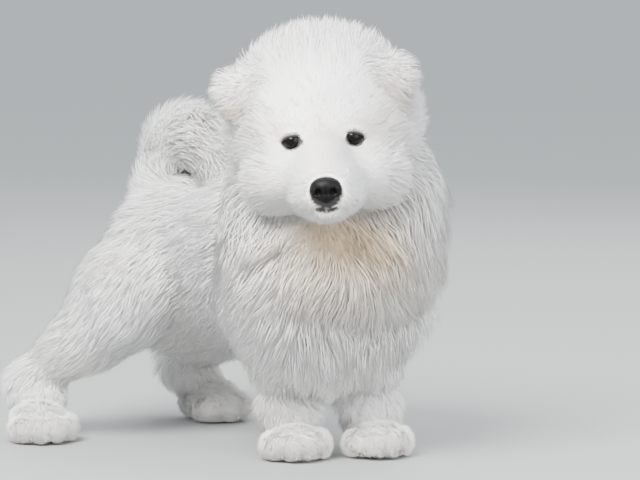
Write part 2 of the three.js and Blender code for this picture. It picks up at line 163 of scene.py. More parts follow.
def place(centre, turn, forward, side, height):
    """A point ahead of a centre and to its right, at a height above the floor, from millimetres."""
    point = centre + ahead(turn) * forward * MM + right_of(turn) * side * MM
    point.z = height * MM
    return point


def spline(points, t):
    """A centripetal Catmull-Rom curve through the points, at shares t of its spans."""
    points = np.asarray(points, float)
    ends = np.vstack([2 * points[0] - points[1], points, 2 * points[-1] - points[-2]])
    along = np.clip(t, 0, 1) * (len(points) - 1)
    span = np.minimum(along.astype(int), len(points) - 2)
    u = (along - span)[:, None]
    p0, p1, p2, p3 = (ends[span + k] for k in range(4))
    pairs = ((p0, p1), (p1, p2), (p2, p3))
    gaps = [np.sqrt(np.linalg.norm(b - a, axis=1))[:, None] for a, b in pairs]
    tiny = 1e-6
    d1 = np.where(gaps[1] < tiny, 1.0, gaps[1])
    d0 = np.where(gaps[0] < tiny, d1, gaps[0])
    d2 = np.where(gaps[2] < tiny, d1, gaps[2])
    m1 = ((p1 - p0) / d0 - (p2 - p0) / (d0 + d1) + (p2 - p1) / d1) * d1
    m2 = ((p2 - p1) / d1 - (p3 - p1) / (d1 + d2) + (p3 - p2) / d2) * d1
    c2 = -3 * p1 + 3 * p2 - 2 * m1 - m2
    c3 = 2 * p1 - 2 * p2 + m1 + m2
    return p1 + m1 * u + c2 * u ** 2 + c3 * u ** 3


# The body's limbs, from the same named sizes as the frame

class Limb:
    """An oval tube with round ends that follows a few stations, with the coat's depth and lie."""

    def __init__(self, name, stations, axis, reference, cap=0.14, droop=0.0, head=False):
        self.name = name
        self.centres = np.array([list(s[0]) for s in stations])
        self.radii = np.array([s[1:] for s in stations], float) * MM
        self.axis = np.array(axis, float)
        self.side = unit(np.cross(self.axis, reference))
        self.up = np.cross(self.side, self.axis)
        self.cap = cap
        self.droop = droop
        self.head = head

    def point(self, share, angle, depth):
        """Points at shares of the length and angles round it. Depth 0 is the flesh, 1 the tips."""
        size = spline(self.radii, share)
        near = np.clip(np.minimum(share, 1 - share) / self.cap, 0, 1)
        cap = np.sqrt(1 - (1 - near) ** 2)
        grown = size[:, 2] * depth
        out = spline(self.centres, share)
        out += self.side * (np.cos(angle) * (size[:, 0] + grown) * cap)[:, None]
        out += self.up * (np.sin(angle) * (size[:, 1] + grown) * cap)[:, None]
        out -= self.axis * (grown * np.clip(1 - share / self.cap, 0, 1))[:, None]
        out += self.axis * (grown * np.clip(1 - (1 - share) / self.cap, 0, 1))[:, None]
        return out

    def samples(self, count=33):
        """Points of the centre line in the world, with radius, coat depth and direction."""
        t = np.linspace(0, 1, count)
        centre = spline(self.centres, t)
        size = spline(self.radii, t)
        centre = to_world(HEAD, centre) if self.head else centre + np.array(SHIFT)
        lie = unit(np.gradient(centre, axis=0))
        lie[:, 2] -= self.droop
        return centre, (size[:, 0] + size[:, 1]) / 2, size[:, 2], unit(lie)


UP, DOWN = (0, 0, 1), (0, 0, -1)
BACKWARD, FORWARD = (0, 1, 0), (0, -1, 0)


def stations(anchor, *rows):
    """A limb's stations from a centre and its turn: where each lies, its half sizes and coat."""
    return [(place(*anchor, *row[:3]), *row[3:]) for row in rows]


def body_limbs():
    """The trunk, neck, tail and skull."""
    torso = Limb("torso", [
        *stations(CHEST, (56, 0, 118, 40, 36, 28), (22, 0, 124, 56, 50, 32)),
        *stations(CHEST, (-24, 0, 132, 54, 49, 28)),
        (Vector((4, 64, 132)) * MM, 48, 46, 25),
        (Vector((-3, 104, 126)) * MM, 45, 43, 24),
        *stations(HIPS, (0, 0, 121, 47, 45, 25), (-32, 0, 116, 30, 33, 23)),
    ], BACKWARD, UP, droop=0.55)
    neck = Limb("neck", [
        *stations((HEAD_CENTRE, CHEST_TURN), (-18, 0, 242, 40, 34, 30)),
        *stations(CHEST, (22, 0, 196, 46, 40, 38), (26, 0, 152, 48, 42, 38)),
        *stations(CHEST, (34, 0, 112, 44, 36, 32)),
    ], DOWN, BACKWARD, 0.2)
    tail_rise = Limb("tail", stations(
        HIPS, (-26, 0, 140, 10, 10, 13), (-22, 0, 174, 9, 9, 17), (-12, 0, 205, 8, 9, 19),
    ), UP, BACKWARD, 0.25)
    tail_fall = Limb("tail", stations(
        HIPS, (-22, 0, 202, 9, 12, 20), (-2, 1, 212, 8, 9, 22), (22, 3, 210, 6, 8, 22),
        (44, 6, 194, 5, 8, 20), (56, 8, 178, 4, 8, 12),
    ), FORWARD, UP, 0.2)
    skull = Limb("head", [
        (Vector((0, -43, -8)) * MM, 34, 30, 6),
        (Vector((0, -14, -4)) * MM, 48, 46, 16),
        (Vector((0, 14, -3)) * MM, 51, 49, 22),
        (Vector((0, 44, -8)) * MM, 36, 38, 24),
    ], BACKWARD, UP, head=True)
    return [torso, neck, tail_rise, tail_fall, skull]


def foreleg(side):
    """The joints of a foreleg and its turn, where side is 1 for the puppy's right."""
    lean = -10 if side > 0 else -4
    half = SHOULDER_HALF / MM
    joints = (
        place(*CHEST, 12, side * half, 112),
        place(*CHEST, 2, side * (half - 2), 84),
        place(*CHEST, 8, side * (half + lean), 34),
        place(*CHEST, 14, side * (half + lean), 16),
    )
    return joints, CHEST_TURN


def hind_leg(forward, side, turn):
    """The joints of a hind leg and its turn, from how far forward and to the right they lie."""
    half = HIP_HALF / MM
    right = 1 if side[0] > 0 else -1
    joints = (
        place(*HIPS, 0, right * half, 118),
        place(*HIPS, forward[0], side[0], 84 if right > 0 else 82),
        place(*HIPS, forward[1], side[1], 42),
        place(*HIPS, forward[2], side[2], 15),
    )
    return joints, math.radians(turn)


# The right and the left legs, each with four joints from the body to the paw, and its turn
FORELEGS = (foreleg(1), foreleg(-1))
HIND_LEGS = (
    hind_leg((-7, -58, -44), (63, 92, 107), -18),
    hind_leg((9, -44, -28), (-40, -43, -44), 10),
)
LEGS = FORELEGS + HIND_LEGS
# The upper and lower length of a leg: the share of its ends that is round, then its stations.
# A station has its way along the joints, 1.5 being halfway from the second to the third, its
# half sizes and its coat's depth.
FORELEG_LENGTHS = (
    (0.3, ((0, 26, 30, 16), (0.5, 23, 27, 17), (1, 17, 20, 17), (1.3, 14, 15, 14))),
    (0.2, ((1.12, 15, 16, 13), (1.55, 13.5, 14, 11), (2, 13.5, 14, 11), (2.7, 14, 15, 9))),
)
HIND_LEG_LENGTHS = (
    (0.4, ((0, 30, 36, 20), (0.55, 28, 34, 20), (1, 22, 26, 19), (1.35, 16, 19, 17))),
    (0.2, ((1.1, 18, 21, 17), (1.6, 14, 16, 15), (2, 12.5, 14, 14), (2.75, 13, 14, 11))),
)
# Fuller forms under each hind leg's hair, which hide the hip and the bend of the knee
TROUSERS = (
    (0.4, ((-0.45, 30, 38, 22), (0.1, 31, 38, 22), (0.6, 28, 33, 20))),
    (0.4, ((0.5, 26, 30, 20), (1.3, 21, 24, 18), (1.75, 16, 18, 15))),
)
FLANK_RISE = Vector((0, 0, 4)) * MM


def leg_limbs(name, legs, lengths):
    """The limbs of some legs. A station before the first joint lies higher, on the flank."""
    limbs = []
    for joints, _ in legs:
        for cap, stations in lengths:
            spots = []
            for way, *sizes in stations:
                above = min(max(int(way), 0), 2)
                spot = joints[above].lerp(joints[above + 1], way - above)
                spots.append((spot + FLANK_RISE if way < 0 else spot, *sizes))
            limbs.append(Limb(name, spots, DOWN, BACKWARD, cap))
    return limbs


LIMBS = (
    body_limbs()
    + leg_limbs("foreleg", FORELEGS, FORELEG_LENGTHS)
    + leg_limbs("hind_leg", HIND_LEGS, HIND_LEG_LENGTHS)
)


# Working with Blender objects

def clear_selection():
    """Leaves object mode with nothing selected."""
    if bpy.context.object and bpy.context.object.mode != "OBJECT":
        bpy.ops.object.mode_set(mode="OBJECT")
    bpy.ops.object.select_all(action="DESELECT")


def choose(*pieces):
    """Selects the pieces, with the first one active."""
    clear_selection()
    for piece in pieces:
        piece.select_set(True)
    bpy.context.view_layer.objects.active = pieces[0]


def add_object(name, data):
    """An object in the scene, made of its data."""
    item = bpy.data.objects.new(name, data)
    bpy.context.scene.collection.objects.link(item)
    return item


def finish_modifier(piece, kind, **settings):
    """Adds a modifier to a piece and applies it."""
    choose(piece)
    modifier = piece.modifiers.new(kind.title(), kind)
    for key, value in settings.items():
        setattr(modifier, key, value)
    bpy.ops.object.modifier_apply(modifier=modifier.name)


def join(pieces, name):
    """One mesh object of several."""
    choose(*pieces)
    bpy.ops.object.join()
    whole = bpy.context.object
    whole.name = name
    whole.data.name = name
    return whole


def face_outward(piece, weld=0.0):
    """Turns a closed piece's faces outwards, after welding points nearer together than weld."""
    choose(piece)
    bpy.ops.object.mode_set(mode="EDIT")
    bpy.ops.mesh.select_all(action="SELECT")
    if weld:
        bpy.ops.mesh.remove_doubles(threshold=weld)
    bpy.ops.mesh.normals_make_consistent(inside=False)
    bpy.ops.object.mode_set(mode="OBJECT")


def settle(piece):
    """Moves a piece's place, turn and scale into its mesh."""
    choose(piece)
    bpy.ops.object.transform_apply(location=True, rotation=True, scale=True)
    return piece


def dress(piece, material):
    """Gives a piece its one material, and smooth shading."""
    piece.data.materials.clear()
    piece.data.materials.append(material)
    choose(piece)
    bpy.ops.object.shade_smooth()


def from_vertices(piece, key):
    """A vector of each of a piece's vertices, such as its place or its normal."""
    values = np.empty(len(piece.data.vertices) * 3)
    piece.data.vertices.foreach_get(key, values)
    return values.reshape(-1, 3)


def coordinates(piece):
    """The places of a piece's vertices."""
    return from_vertices(piece, "co")


def set_coordinates(piece, points):
    """Moves a piece's vertices."""
    piece.data.vertices.foreach_set("co", np.ascontiguousarray(points, float).ravel())
    piece.data.update()


def add_ball(centre, half_sizes, matrix, segments=40, rings=28):
    """A closed egg with three half sizes in metres, moved by a matrix."""
    clear_selection()
    bpy.ops.mesh.primitive_uv_sphere_add(segments=segments, ring_count=rings, radius=1)
    ball = bpy.context.object
    shape = Matrix.Translation(Vector(centre)) @ Matrix.Diagonal((*half_sizes, 1))
    ball.matrix_world = matrix @ shape
    return settle(ball)


def add_balls(balls, matrix, origin=Vector(), **grid):
    """Eggs from their centres and half sizes in millimetres, around an origin in metres."""
    return [
        add_ball(origin + Vector(centre) * MM, [size * MM for size in half], matrix, **grid)
        for centre, half in balls
    ]


def add_limb(limb, depth, segments=48, rings=40):
    """A limb as a ball drawn out along its stations."""
    clear_selection()
    bpy.ops.mesh.primitive_uv_sphere_add(segments=segments, ring_count=rings, radius=1)
    piece = bpy.context.object
    co = coordinates(piece)
    even = np.arccos(np.clip(co[:, 2], -1, 1)) / math.pi
    share = 0.6 * even + 0.2 * (1 - np.cos(math.pi * even))
    angle = np.arctan2(co[:, 1], co[:, 0])
    points = limb.point(share, angle, depth)
    points = to_world(HEAD, points) if limb.head else points + np.array(SHIFT)
    set_coordinates(piece, points)
    face_outward(piece)
    return piece


# Materials

def new_material(name, inputs):
    """A material and its shader, with some of the shader's inputs set."""
    material = bpy.data.materials.new(name)
    material.use_nodes = True
    shader = material.node_tree.nodes["Principled BSDF"]
    for key, value in inputs.items():
        shader.inputs[key].default_value = value
    return material, shader


def mix_colours(tree, factor, first, second, target=None):
    """Mixes two colours by a socket, and links the result to a target if there is one."""
    mix = tree.nodes.new("ShaderNodeMix")
    mix.data_type = "RGBA"
    tree.links.new(factor, mix.inputs["Factor"])
    for socket, colour in ((mix.inputs["A"], first), (mix.inputs["B"], second)):
        if isinstance(colour, bpy.types.NodeSocket):
            tree.links.new(colour, socket)
        else:
            socket.default_value = (*colour, 1)
    if target is not None:
        tree.links.new(mix.outputs["Result"], target)
    return mix.outputs["Result"]


def attribute(tree, name, output="Fac"):
    """A socket with the values that a mesh keeps under a name."""
    node = tree.nodes.new("ShaderNodeAttribute")
    node.attribute_name = name
    return node.outputs[output]


def noise_bump(tree, shader, scale, strength, distance):
    """Fine grain in the surface's relief, from object coordinates."""
    where = tree.nodes.new("ShaderNodeTexCoord")
    noise = tree.nodes.new("ShaderNodeTexNoise")
    noise.inputs["Scale"].default_value = scale
    noise.inputs["Detail"].default_value = 4
    bump = tree.nodes.new("ShaderNodeBump")
    bump.inputs["Strength"].default_value = strength
    bump.inputs["Distance"].default_value = distance
    tree.links.new(where.outputs["Object"], noise.inputs["Vector"])
    tree.links.new(noise.outputs["Fac"], bump.inputs["Height"])
    tree.links.new(bump.outputs["Normal"], shader.inputs["Normal"])
    return noise.outputs["Fac"]


def coat_material(settings):
    """White fur: cream tint and painted warm shade in the marked places, each tuft a little
    different, paler at its tip.
    """
    material, shader = new_material("white_fur", {
        "Roughness": 0.62, "Specular IOR Level": 0.25,
        "Sheen Weight": 0.35, "Sheen Roughness": 0.6,
    })
    tree = material.node_tree
    tint, tip = attribute(tree, "tuft_tint"), attribute(tree, "tuft_tip")
    white = mix_colours(tree, tint, settings.white_low, settings.white_high)
    rooted = mix_colours(tree, tip, settings.root_colour, white)
    base = shader.inputs["Base Color"]
    # Cream tint and painted warm shade, where the mark says.
    mix_colours(tree, attribute(tree, "cream_and_shade_mark"), rooted, settings.cream_and_shade, base)
    own = tree.nodes.new("ShaderNodeNewGeometry")
    blend = tree.nodes.new("ShaderNodeMix")
    blend.data_type = "VECTOR"
    even = tree.nodes.new("ShaderNodeVectorMath")
    even.operation = "NORMALIZE"
    tree.links.new(attribute(tree, "tuft_soft"), blend.inputs["Factor"])
    tree.links.new(own.outputs["Normal"], blend.inputs["A"])
    tree.links.new(attribute(tree, "skin_normal", "Vector"), blend.inputs["B"])
    tree.links.new(blend.outputs["Result"], even.inputs[0])
    tree.links.new(even.outputs["Vector"], shader.inputs["Normal"])
    return material


def skin_material(settings):
    """Pale skin under the coat, with the same marks of cream tint and painted warm shade, and dark
    rims at lids and lips.
    """
    material, shader = new_material("pale_skin", {"Roughness": 0.55})
    tree = material.node_tree
    # Cream tint and painted warm shade, where the mark says.
    pale = mix_colours(tree, attribute(tree, "cream_and_shade_mark"), settings.skin, settings.cream_and_shade)
    base = shader.inputs["Base Color"]
    mix_colours(tree, attribute(tree, "dark_mark"), pale, settings.rim, base)
    noise_bump(tree, shader, 900, 0.35, 0.0006)
    return material


def length_value(name, description, default):
    """A length that a user would change."""
    return bpy.props.FloatProperty(
        name=name, description=description, default=default, min=0.0005, unit="LENGTH")


def share_value(name, description, default):
    """A share from 0 to 1 that a user would change."""
    return bpy.props.FloatProperty(
        name=name, description=description, default=default, min=0.0, max=1.0, subtype="FACTOR")


def tuft_count(name, description, default):
    """A number of tufts that a user would change."""
    return bpy.props.IntProperty(
        name=name, description=description, default=default, min=1000)


def colour_value(name, description, default):
    """A colour that a user would change."""
    return bpy.props.FloatVectorProperty(
        name=name, description=description, default=default, min=0, max=1, subtype="COLOR")


class PuppySizes(bpy.types.PropertyGroup):
    """Sizes that a user would change."""

    voxel: length_value("Skin grain", "Side of the skin's faces", 0.0022)
    skin_share: share_value(
        "Skin depth", "Share of the coat's depth that the skin stands out by", SKIN_SHARE)
    long_tufts: tuft_count(
        "Long tufts", "Bending tufts of long hair on the trunk, neck, tail and legs", 44000)
    fine_tufts: tuft_count("Fine tufts", "Finer straight tufts between the long ones", 145000)
    short_tufts: tuft_count(
        "Short tufts", "Tufts of short hair on the face, ears and feet", 115000)
    clump: share_value("Clumping", "How far the tips of tufts draw together into locks", 0.55)
    camera_distance: length_value(
        "Camera distance", "From the camera to the middle of the head", 2.2)


class PuppyColours(bpy.types.PropertyGroup):
    """Colours that a user would change."""

    white_low: colour_value("Shaded white", "Darkest tufts", (0.93, 0.925, 0.91))
    white_high: colour_value("Bright white", "Brightest tufts", (0.985, 0.983, 0.978))
    root_colour: colour_value("Root", "Hair at its root", (0.95, 0.94, 0.915))
    # Also the colour of the painted warm shade under the chin, the brows and the ears and on the
    # chest.
    cream_and_shade: colour_value("Cream", "Cream tinted hair", (0.70, 0.53, 0.35))
    skin: colour_value("Skin", "Skin under the coat", (0.94, 0.92, 0.89))
    rim: colour_value("Rims", "Rims of the lids and lips", (0.022, 0.018, 0.018))
    floor: colour_value("Floor", "The pale floor", (0.27, 0.28, 0.275))
    softness: share_value("Softness", "How far tufts are shaded as the body under them", 0.78)


def sizes():
    """The sizes set in the panel."""
    return bpy.context.scene.puppy_sizes


def colours():
    """The colours set in the panel."""
    return bpy.context.scene.puppy_colours


# The stage: floor, light and camera

VIEW_TURN = math.radians(38)
VIEW_DROP = math.radians(5.5)
PIXELS_PER_METRE = 1480.0
IMAGE_WIDTH = 640
IMAGE_HEIGHT = 480
HEAD_PIXEL = (322, 118)
SENSOR = 36.0
FLOOR_HEIGHT = -0.5 * MM
SKY = (0.90, 0.95, 1.0, 1)
SKY_STRENGTH = 1.9
# Lamps: how far beyond the puppy from the camera, to the right of it and above it, in metres,
# then the lamp's width, power and colour
LAMPS = (
    ("key", -1.0, -0.5, 1.05, 0.8, 100, (1.0, 0.985, 0.965)),
    ("fill", -1.5, 1.3, 0.5, 1.6, 42, (0.97, 0.98, 1.0)),
    ("back", 1.3, 0.4, 1.3, 1.2, 30, (1.0, 1.0, 1.0)),
)


def add_camera():
    """A camera at the photograph's angle, with the middle of the head where it is there."""
    distance = sizes().camera_distance
    forward = Vector((
        math.sin(VIEW_TURN) * math.cos(VIEW_DROP),
        math.cos(VIEW_TURN) * math.cos(VIEW_DROP),
        -math.sin(VIEW_DROP),
    ))
    right = Vector((math.cos(VIEW_TURN), -math.sin(VIEW_TURN), 0))
    up = right.cross(forward)
    across = (HEAD_PIXEL[0] - IMAGE_WIDTH / 2) / PIXELS_PER_METRE
    above = (IMAGE_HEIGHT / 2 - HEAD_PIXEL[1]) / PIXELS_PER_METRE
    spot = HEAD.translation - forward * distance - right * across - up * above
    data = bpy.data.cameras.new("camera")
    data.sensor_width = SENSOR
    data.lens = PIXELS_PER_METRE * distance * SENSOR / IMAGE_WIDTH
    data.clip_start = 0.05
    camera = add_object("camera", data)
    turn = Matrix((right, up, -forward)).transposed()
    camera.matrix_world = Matrix.Translation(spot) @ turn.to_4x4()
    bpy.context.scene.camera = camera
    return right, forward


def add_light(name, spot, aim, size, power, colour):
    """A soft square lamp that faces a point."""
    data = bpy.data.lights.new(name, "AREA")
    data.shape = "SQUARE"
    data.size = size
    data.energy = power
    data.color = colour
    lamp = add_object(name, data)
    turn = (aim - spot).to_track_quat("-Z", "Y")
    lamp.matrix_world = Matrix.Translation(spot) @ turn.to_matrix().to_4x4()


class PUPPY_OT_stage(bpy.types.Operator):
    """Lays the floor and sets the lights and the camera"""

    bl_idname = "puppy.stage"
    bl_label = "Stage"

    def execute(self, context):
        clear_selection()
        bpy.ops.mesh.primitive_circle_add(
            vertices=96, radius=120, fill_type="NGON", location=(0, 0, FLOOR_HEIGHT))
        floor = settle(context.object)
        floor.name = "floor"
        look = {"Base Color": (*colours().floor, 1), "Roughness": 0.9}
        material, shader = new_material("pale_floor", look)
        noise_bump(material.node_tree, shader, 60, 0.08, 0.002)
        floor.data.materials.append(material)
        world = bpy.data.worlds.new("room")
        world.use_nodes = True
        background = world.node_tree.nodes["Background"]
        background.inputs["Color"].default_value = SKY
        background.inputs["Strength"].default_value = SKY_STRENGTH
        context.scene.world = world
        right, forward = add_camera()
        middle = HEAD.translation * 0.6
        for name, beyond, aside, above, size, power, colour in LAMPS:
            spot = middle + forward * beyond + right * aside + Vector((0, 0, above))
            add_light(name, spot, middle, size, power, colour)
        return {"FINISHED"}


# The skin

# The hair's thickness in millimetres, which the muzzle's half sizes leave out, and the paws' add
SHORT_HAIR = 1.2
PAW_HAIR = 1.0


def face_balls():
    """The muzzle, its pads, the jaw, and the brows and cheeks, which stand out from the skull."""
    thin = SHORT_HAIR
    balls = [
        ((0, -46, -37), (27 - thin, 34 - thin, 19 - thin)),
        ((0, -53, -54), (15 - thin, 21 - thin, 7.6 - thin)),
        ((0, -40, -22), (15, 26, 16)),
    ]
    for side in (-1, 1):
        balls.append(((side * 11, -60, -44), (15 - thin, 18 - thin, 11 - thin)))
        balls.append(((side * 17, -33, 3), (14, 12, 9)))
        balls.append(((side * 25, -30, -36), (25, 28, 20)))
    return add_balls(balls, HEAD)


EAR_LEAN = math.radians(14)
EAR_SPREAD = math.radians(40)
EAR_HALF = (15.5 * MM, 7.25 * MM, 20.5 * MM)


def ear_balls():
    """Each ear: a thick soft flap that leans forward and out."""
    flaps = []
    for side, spot in EARS:
        turn = HEAD @ Matrix.Translation([value * MM for value in spot])
        turn = turn @ Matrix.Rotation(-EAR_LEAN, 4, "X")
        turn = turn @ Matrix.Rotation(side * EAR_SPREAD, 4, "Y")
        flaps.append(add_ball((0, 0, 0), EAR_HALF, turn))
    return flaps


TOES = ((-13, -16, 8.2), (-4.6, -22, 8.8), (4.6, -22, 8.8), (13, -16, 8.2))


def paw_matrix(leg):
    """The place of a leg's paw on the floor."""
    joints, turn = leg
    spot = Matrix.Translation(SHIFT + Vector((joints[3].x, joints[3].y, 0)))
    return spot @ Matrix.Rotation(turn, 4, "Z")


def paw_balls(leg):
    """The heel and four toes of a paw."""
    grow = PAW_HAIR
    balls = [((0, -4, 14), (16 + grow, 21 + grow, 14 + grow))]
    for x, y, r in TOES:
        balls.append(((x, y, 9.7), (r + grow, r * 1.35 + grow, r * 1.05 + grow)))
    return add_balls(balls, paw_matrix(leg))


# Half width and height of the opening between the lids, and its tilt
LID_OPEN = (5.7 * MM, 3.9 * MM)
LID_TILT = math.radians(-15)
# How much closer together the eyes are set than in the frame, as the photograph has them
EYE_INWARD = 1.8 * MM
GAZE_OUT = math.radians(11)
GAZE_DOWN = math.radians(3)
LID_REACH = math.radians(82)
LID_EDGE = 0.35 * MM
LID_THICK = 1.5 * MM


def gaze_matrix(side):
    """The frame of an eye: origin in its middle, looking along -Y."""
    spot = HEAD @ Matrix.Translation((side * (EYE.x - EYE_INWARD), EYE.y, EYE.z))
    turn = Matrix.Rotation(side * GAZE_OUT, 4, "Z") @ Matrix.Rotation(GAZE_DOWN, 4, "X")
    return spot @ turn @ Matrix.Rotation(-side * LID_TILT, 4, "Y")


def add_lids(side):
    """The lids of an eye: a dome over the eyeball with an almond opening, thin at its edge."""
    clear_selection()
    around, steps = 56, 14
    bpy.ops.mesh.primitive_grid_add(x_subdivisions=around, y_subdivisions=steps, size=2)
    lids = bpy.context.object
    co = coordinates(lids)
    turn = (co[:, 0] + 1) * math.pi
    part = (co[:, 1] + 1) / 2
    sharp = np.abs(np.cos(turn)) ** 1.5
    open_x, open_z = LID_OPEN
    upper = np.where(np.sin(turn) > 0, 0.8, 1.0)
    edge = 1 / np.sqrt((np.cos(turn) / open_x) ** 2 + (np.sin(turn) / (open_z * upper)) ** 2)
    edge *= 1 + 0.07 * sharp
    tilt0 = np.arcsin(np.clip(edge / EYE_RADIUS, 0, 0.98))
    tilt = tilt0 + (LID_REACH - tilt0) * part ** 1.2
    lift = LID_EDGE + LID_THICK * (1 - np.exp(-part * 9)) - 2.2 * MM * smooth(0.45, 1.0, part)
    crease = np.exp(-((part - 0.33) / 0.07) ** 2) * np.clip(np.sin(turn), 0, 1) * 0.35 * MM
    radius = EYE_RADIUS + lift - crease
    points = np.column_stack([
        radius * np.sin(tilt) * np.cos(turn),
        -radius * np.cos(tilt),
        radius * np.sin(tilt) * np.sin(turn),
    ])
    set_coordinates(lids, to_world(gaze_matrix(side), points))
    face_outward(lids, weld=1e-6)
    finish_modifier(lids, "SOLIDIFY", thickness=0.5 * MM, offset=-1.0)
    return lids


def eye_closeness(points):
    """How near points lie to the rim of an eye's opening, from 0 to 1 at the rim."""
    near = np.zeros(len(points))
    for side in (-1, 1):
        local = to_world(gaze_matrix(side).inverted(), points)
        across = local[:, 0] / (LID_OPEN[0] + 0.3 * MM)
        above = local[:, 2] / (LID_OPEN[1] + 0.3 * MM)
        spread = np.sqrt(across ** 2 + above ** 2)
        corner = np.clip((-side * local[:, 0] - LID_OPEN[0] * 0.8) / (2.5 * MM), 0, 1)
        band = 1.22 + 0.25 * corner
        rim = 1 - smooth(band, band + 0.22, spread)
        front = (local[:, 1] < 0) & (np.linalg.norm(local, axis=1) < EYE_RADIUS + 5 * MM)
        near = np.maximum(near, rim * front)
    return near


# The lips seen from the front: half width and height of the dark middle, and the corners
LIPS = {"z": -52.5 * MM, "rise": 6 * MM, "half": 9.5 * MM, "corner": 21 * MM}
PHILTRUM_TOP = -46 * MM


def on_face(tree, x, z):
    """The point of the face's skin behind a place in the head's front view."""
    start = HEAD @ Vector((x, -0.2, z))
    spot = tree.ray_cast(start, HEAD.to_3x3() @ Vector((0, 1, 0)))[0]
    return HEAD.inverted() @ spot


def find_mouth(skin):
    """Lays the line where the lips meet, and the philtrum above it, on the skin of the face."""
    tree = BVHTree.FromObject(skin, bpy.context.evaluated_depsgraph_get())
    corner = LIPS["corner"]
    across = np.linspace(-corner, corner, 61)
    mouth = [on_face(tree, x, LIPS["z"] + LIPS["rise"] * abs(x / corner) ** 1.6) for x in across]
    down = np.linspace(PHILTRUM_TOP, LIPS["z"], 15)
    philtrum = [on_face(tree, 0.0, z) for z in down]
    MOUTH["lips"], MOUTH["philtrum"] = np.array(mouth), np.array(philtrum)


def lip_band(local, edge, middle):
    """How far from the line of the lips a band reaches at its ends, and how much more midway."""
    return edge * MM + middle * MM * np.exp(-(local[:, 0] / LIPS["half"]) ** 4)


def distance_to(points, path):
    """The distance of each point from the nearest point of a path."""
    return np.min([np.linalg.norm(points - spot, axis=1) for spot in path], axis=0)


def cream_and_shade_mark(points):
    """Where the coat is tinted cream, from 0 to 1: the same on the skin and on the tufts. Partly
    the coat's own tint, partly painted warm shade under the chin, the brows and the ears and on the
    chest.
    """
    local = to_head(points) / MM
    x, y, z = local.T
    mark = 0.05 + 0.05 * wander(points, 0.09, SEED + 1)
    stripe = np.exp(-(x / 9) ** 2 - ((y + 52) / 16) ** 2 - ((z + 6) / 20) ** 2)
    bridge = np.exp(-(x / 10) ** 2 - ((y + 66) / 14) ** 2 - ((z + 24) / 9) ** 2)
    # Painted warm shade under the chin, below the line of the jaw.
    chin_shade = np.exp(-((x - 10) / 38) ** 2 - ((y + 44) / 40) ** 2 - ((z + 73) / 24) ** 2)
    chin_shade *= 1 - smooth(-62, -55, z)
    mark += 0.22 * stripe + 0.18 * bridge + 0.95 * chin_shade
    for side in (-1, 1):
        # Painted shade under each brow ridge, above and outside the eye.
        over = np.exp(-((x - side * 30) / 10) ** 2 - ((y + 34) / 16) ** 2 - ((z + 4) / 8) ** 2)
        mark += 0.34 * over
    # Painted shade under each ear flap.
    for _, spot in EARS:
        ear_shade_middle = np.array(spot) - [0, 8, 9]
        mark += 0.5 * np.exp(-(((local - ear_shade_middle) / 11) ** 2).sum(1))
    # Painted warm shade on the chest, below the head.
    chest = points - np.array(SHIFT) - np.array(place(*CHEST, 60, 0, 150))
    mark += 0.28 * np.exp(-((chest / 0.055) ** 2).sum(1))
    feet = 1 - smooth(0.0, 0.035, points[:, 2])
    return np.clip(mark + 0.14 * feet, 0, 1)


def store(mesh, name, values, kind="FLOAT"):
    """Keeps one value for each vertex."""
    layer = mesh.attributes.get(name) or mesh.attributes.new(name, kind, "POINT")
    key = "vector" if kind == "FLOAT_VECTOR" else "value"
    layer.data.foreach_set(key, np.ascontiguousarray(values, np.float32).ravel())


def mark_skin(skin):
    """Writes the marks of the coat, lids and lips on the skin."""
    points = coordinates(skin)
    # Cream tint and painted warm shade on the skin.
    store(skin.data, "cream_and_shade_mark", cream_and_shade_mark(points))
    dark = eye_closeness(points)
    local = to_head(points)
    gap = distance_to(local, MOUTH["lips"])
    reach = lip_band(local, 0.4, 1.2)
    dark = np.maximum(dark, 1 - smooth(reach, reach + 1.2 * MM, gap))
    gap = distance_to(local, MOUTH["philtrum"])
    dark = np.maximum(dark, 1 - smooth(0.7 * MM, 1.6 * MM, gap))
    pad = distance_to(local, np.array([NOSE]))
    dark = np.maximum(dark, 1 - smooth(10.5 * MM, 11.6 * MM, pad))
    store(skin.data, "dark_mark", dark)


def carve_mouth(skin):
    """Presses the line of the mouth and the philtrum into the skin."""
    points = coordinates(skin)
    normals = from_vertices(skin, "normal")
    local = to_head(points)
    gap = distance_to(local, MOUTH["lips"])
    deep = 1.6 * MM * np.exp(-(gap / (1.4 * MM)) ** 2)
    gap = distance_to(local, MOUTH["philtrum"])
    deep += 0.9 * MM * np.exp(-(gap / (1.1 * MM)) ** 2)
    set_coordinates(skin, points - normals * deep[:, None])


# Heights between which the smoothing of the skin begins above the paws, and at the trunk's
# lower and upper end
PAW_TOP = (0.036, 0.06)
TRUNK_LOW = (0.07, 0.10)
TRUNK_HIGH = (0.15, 0.18)


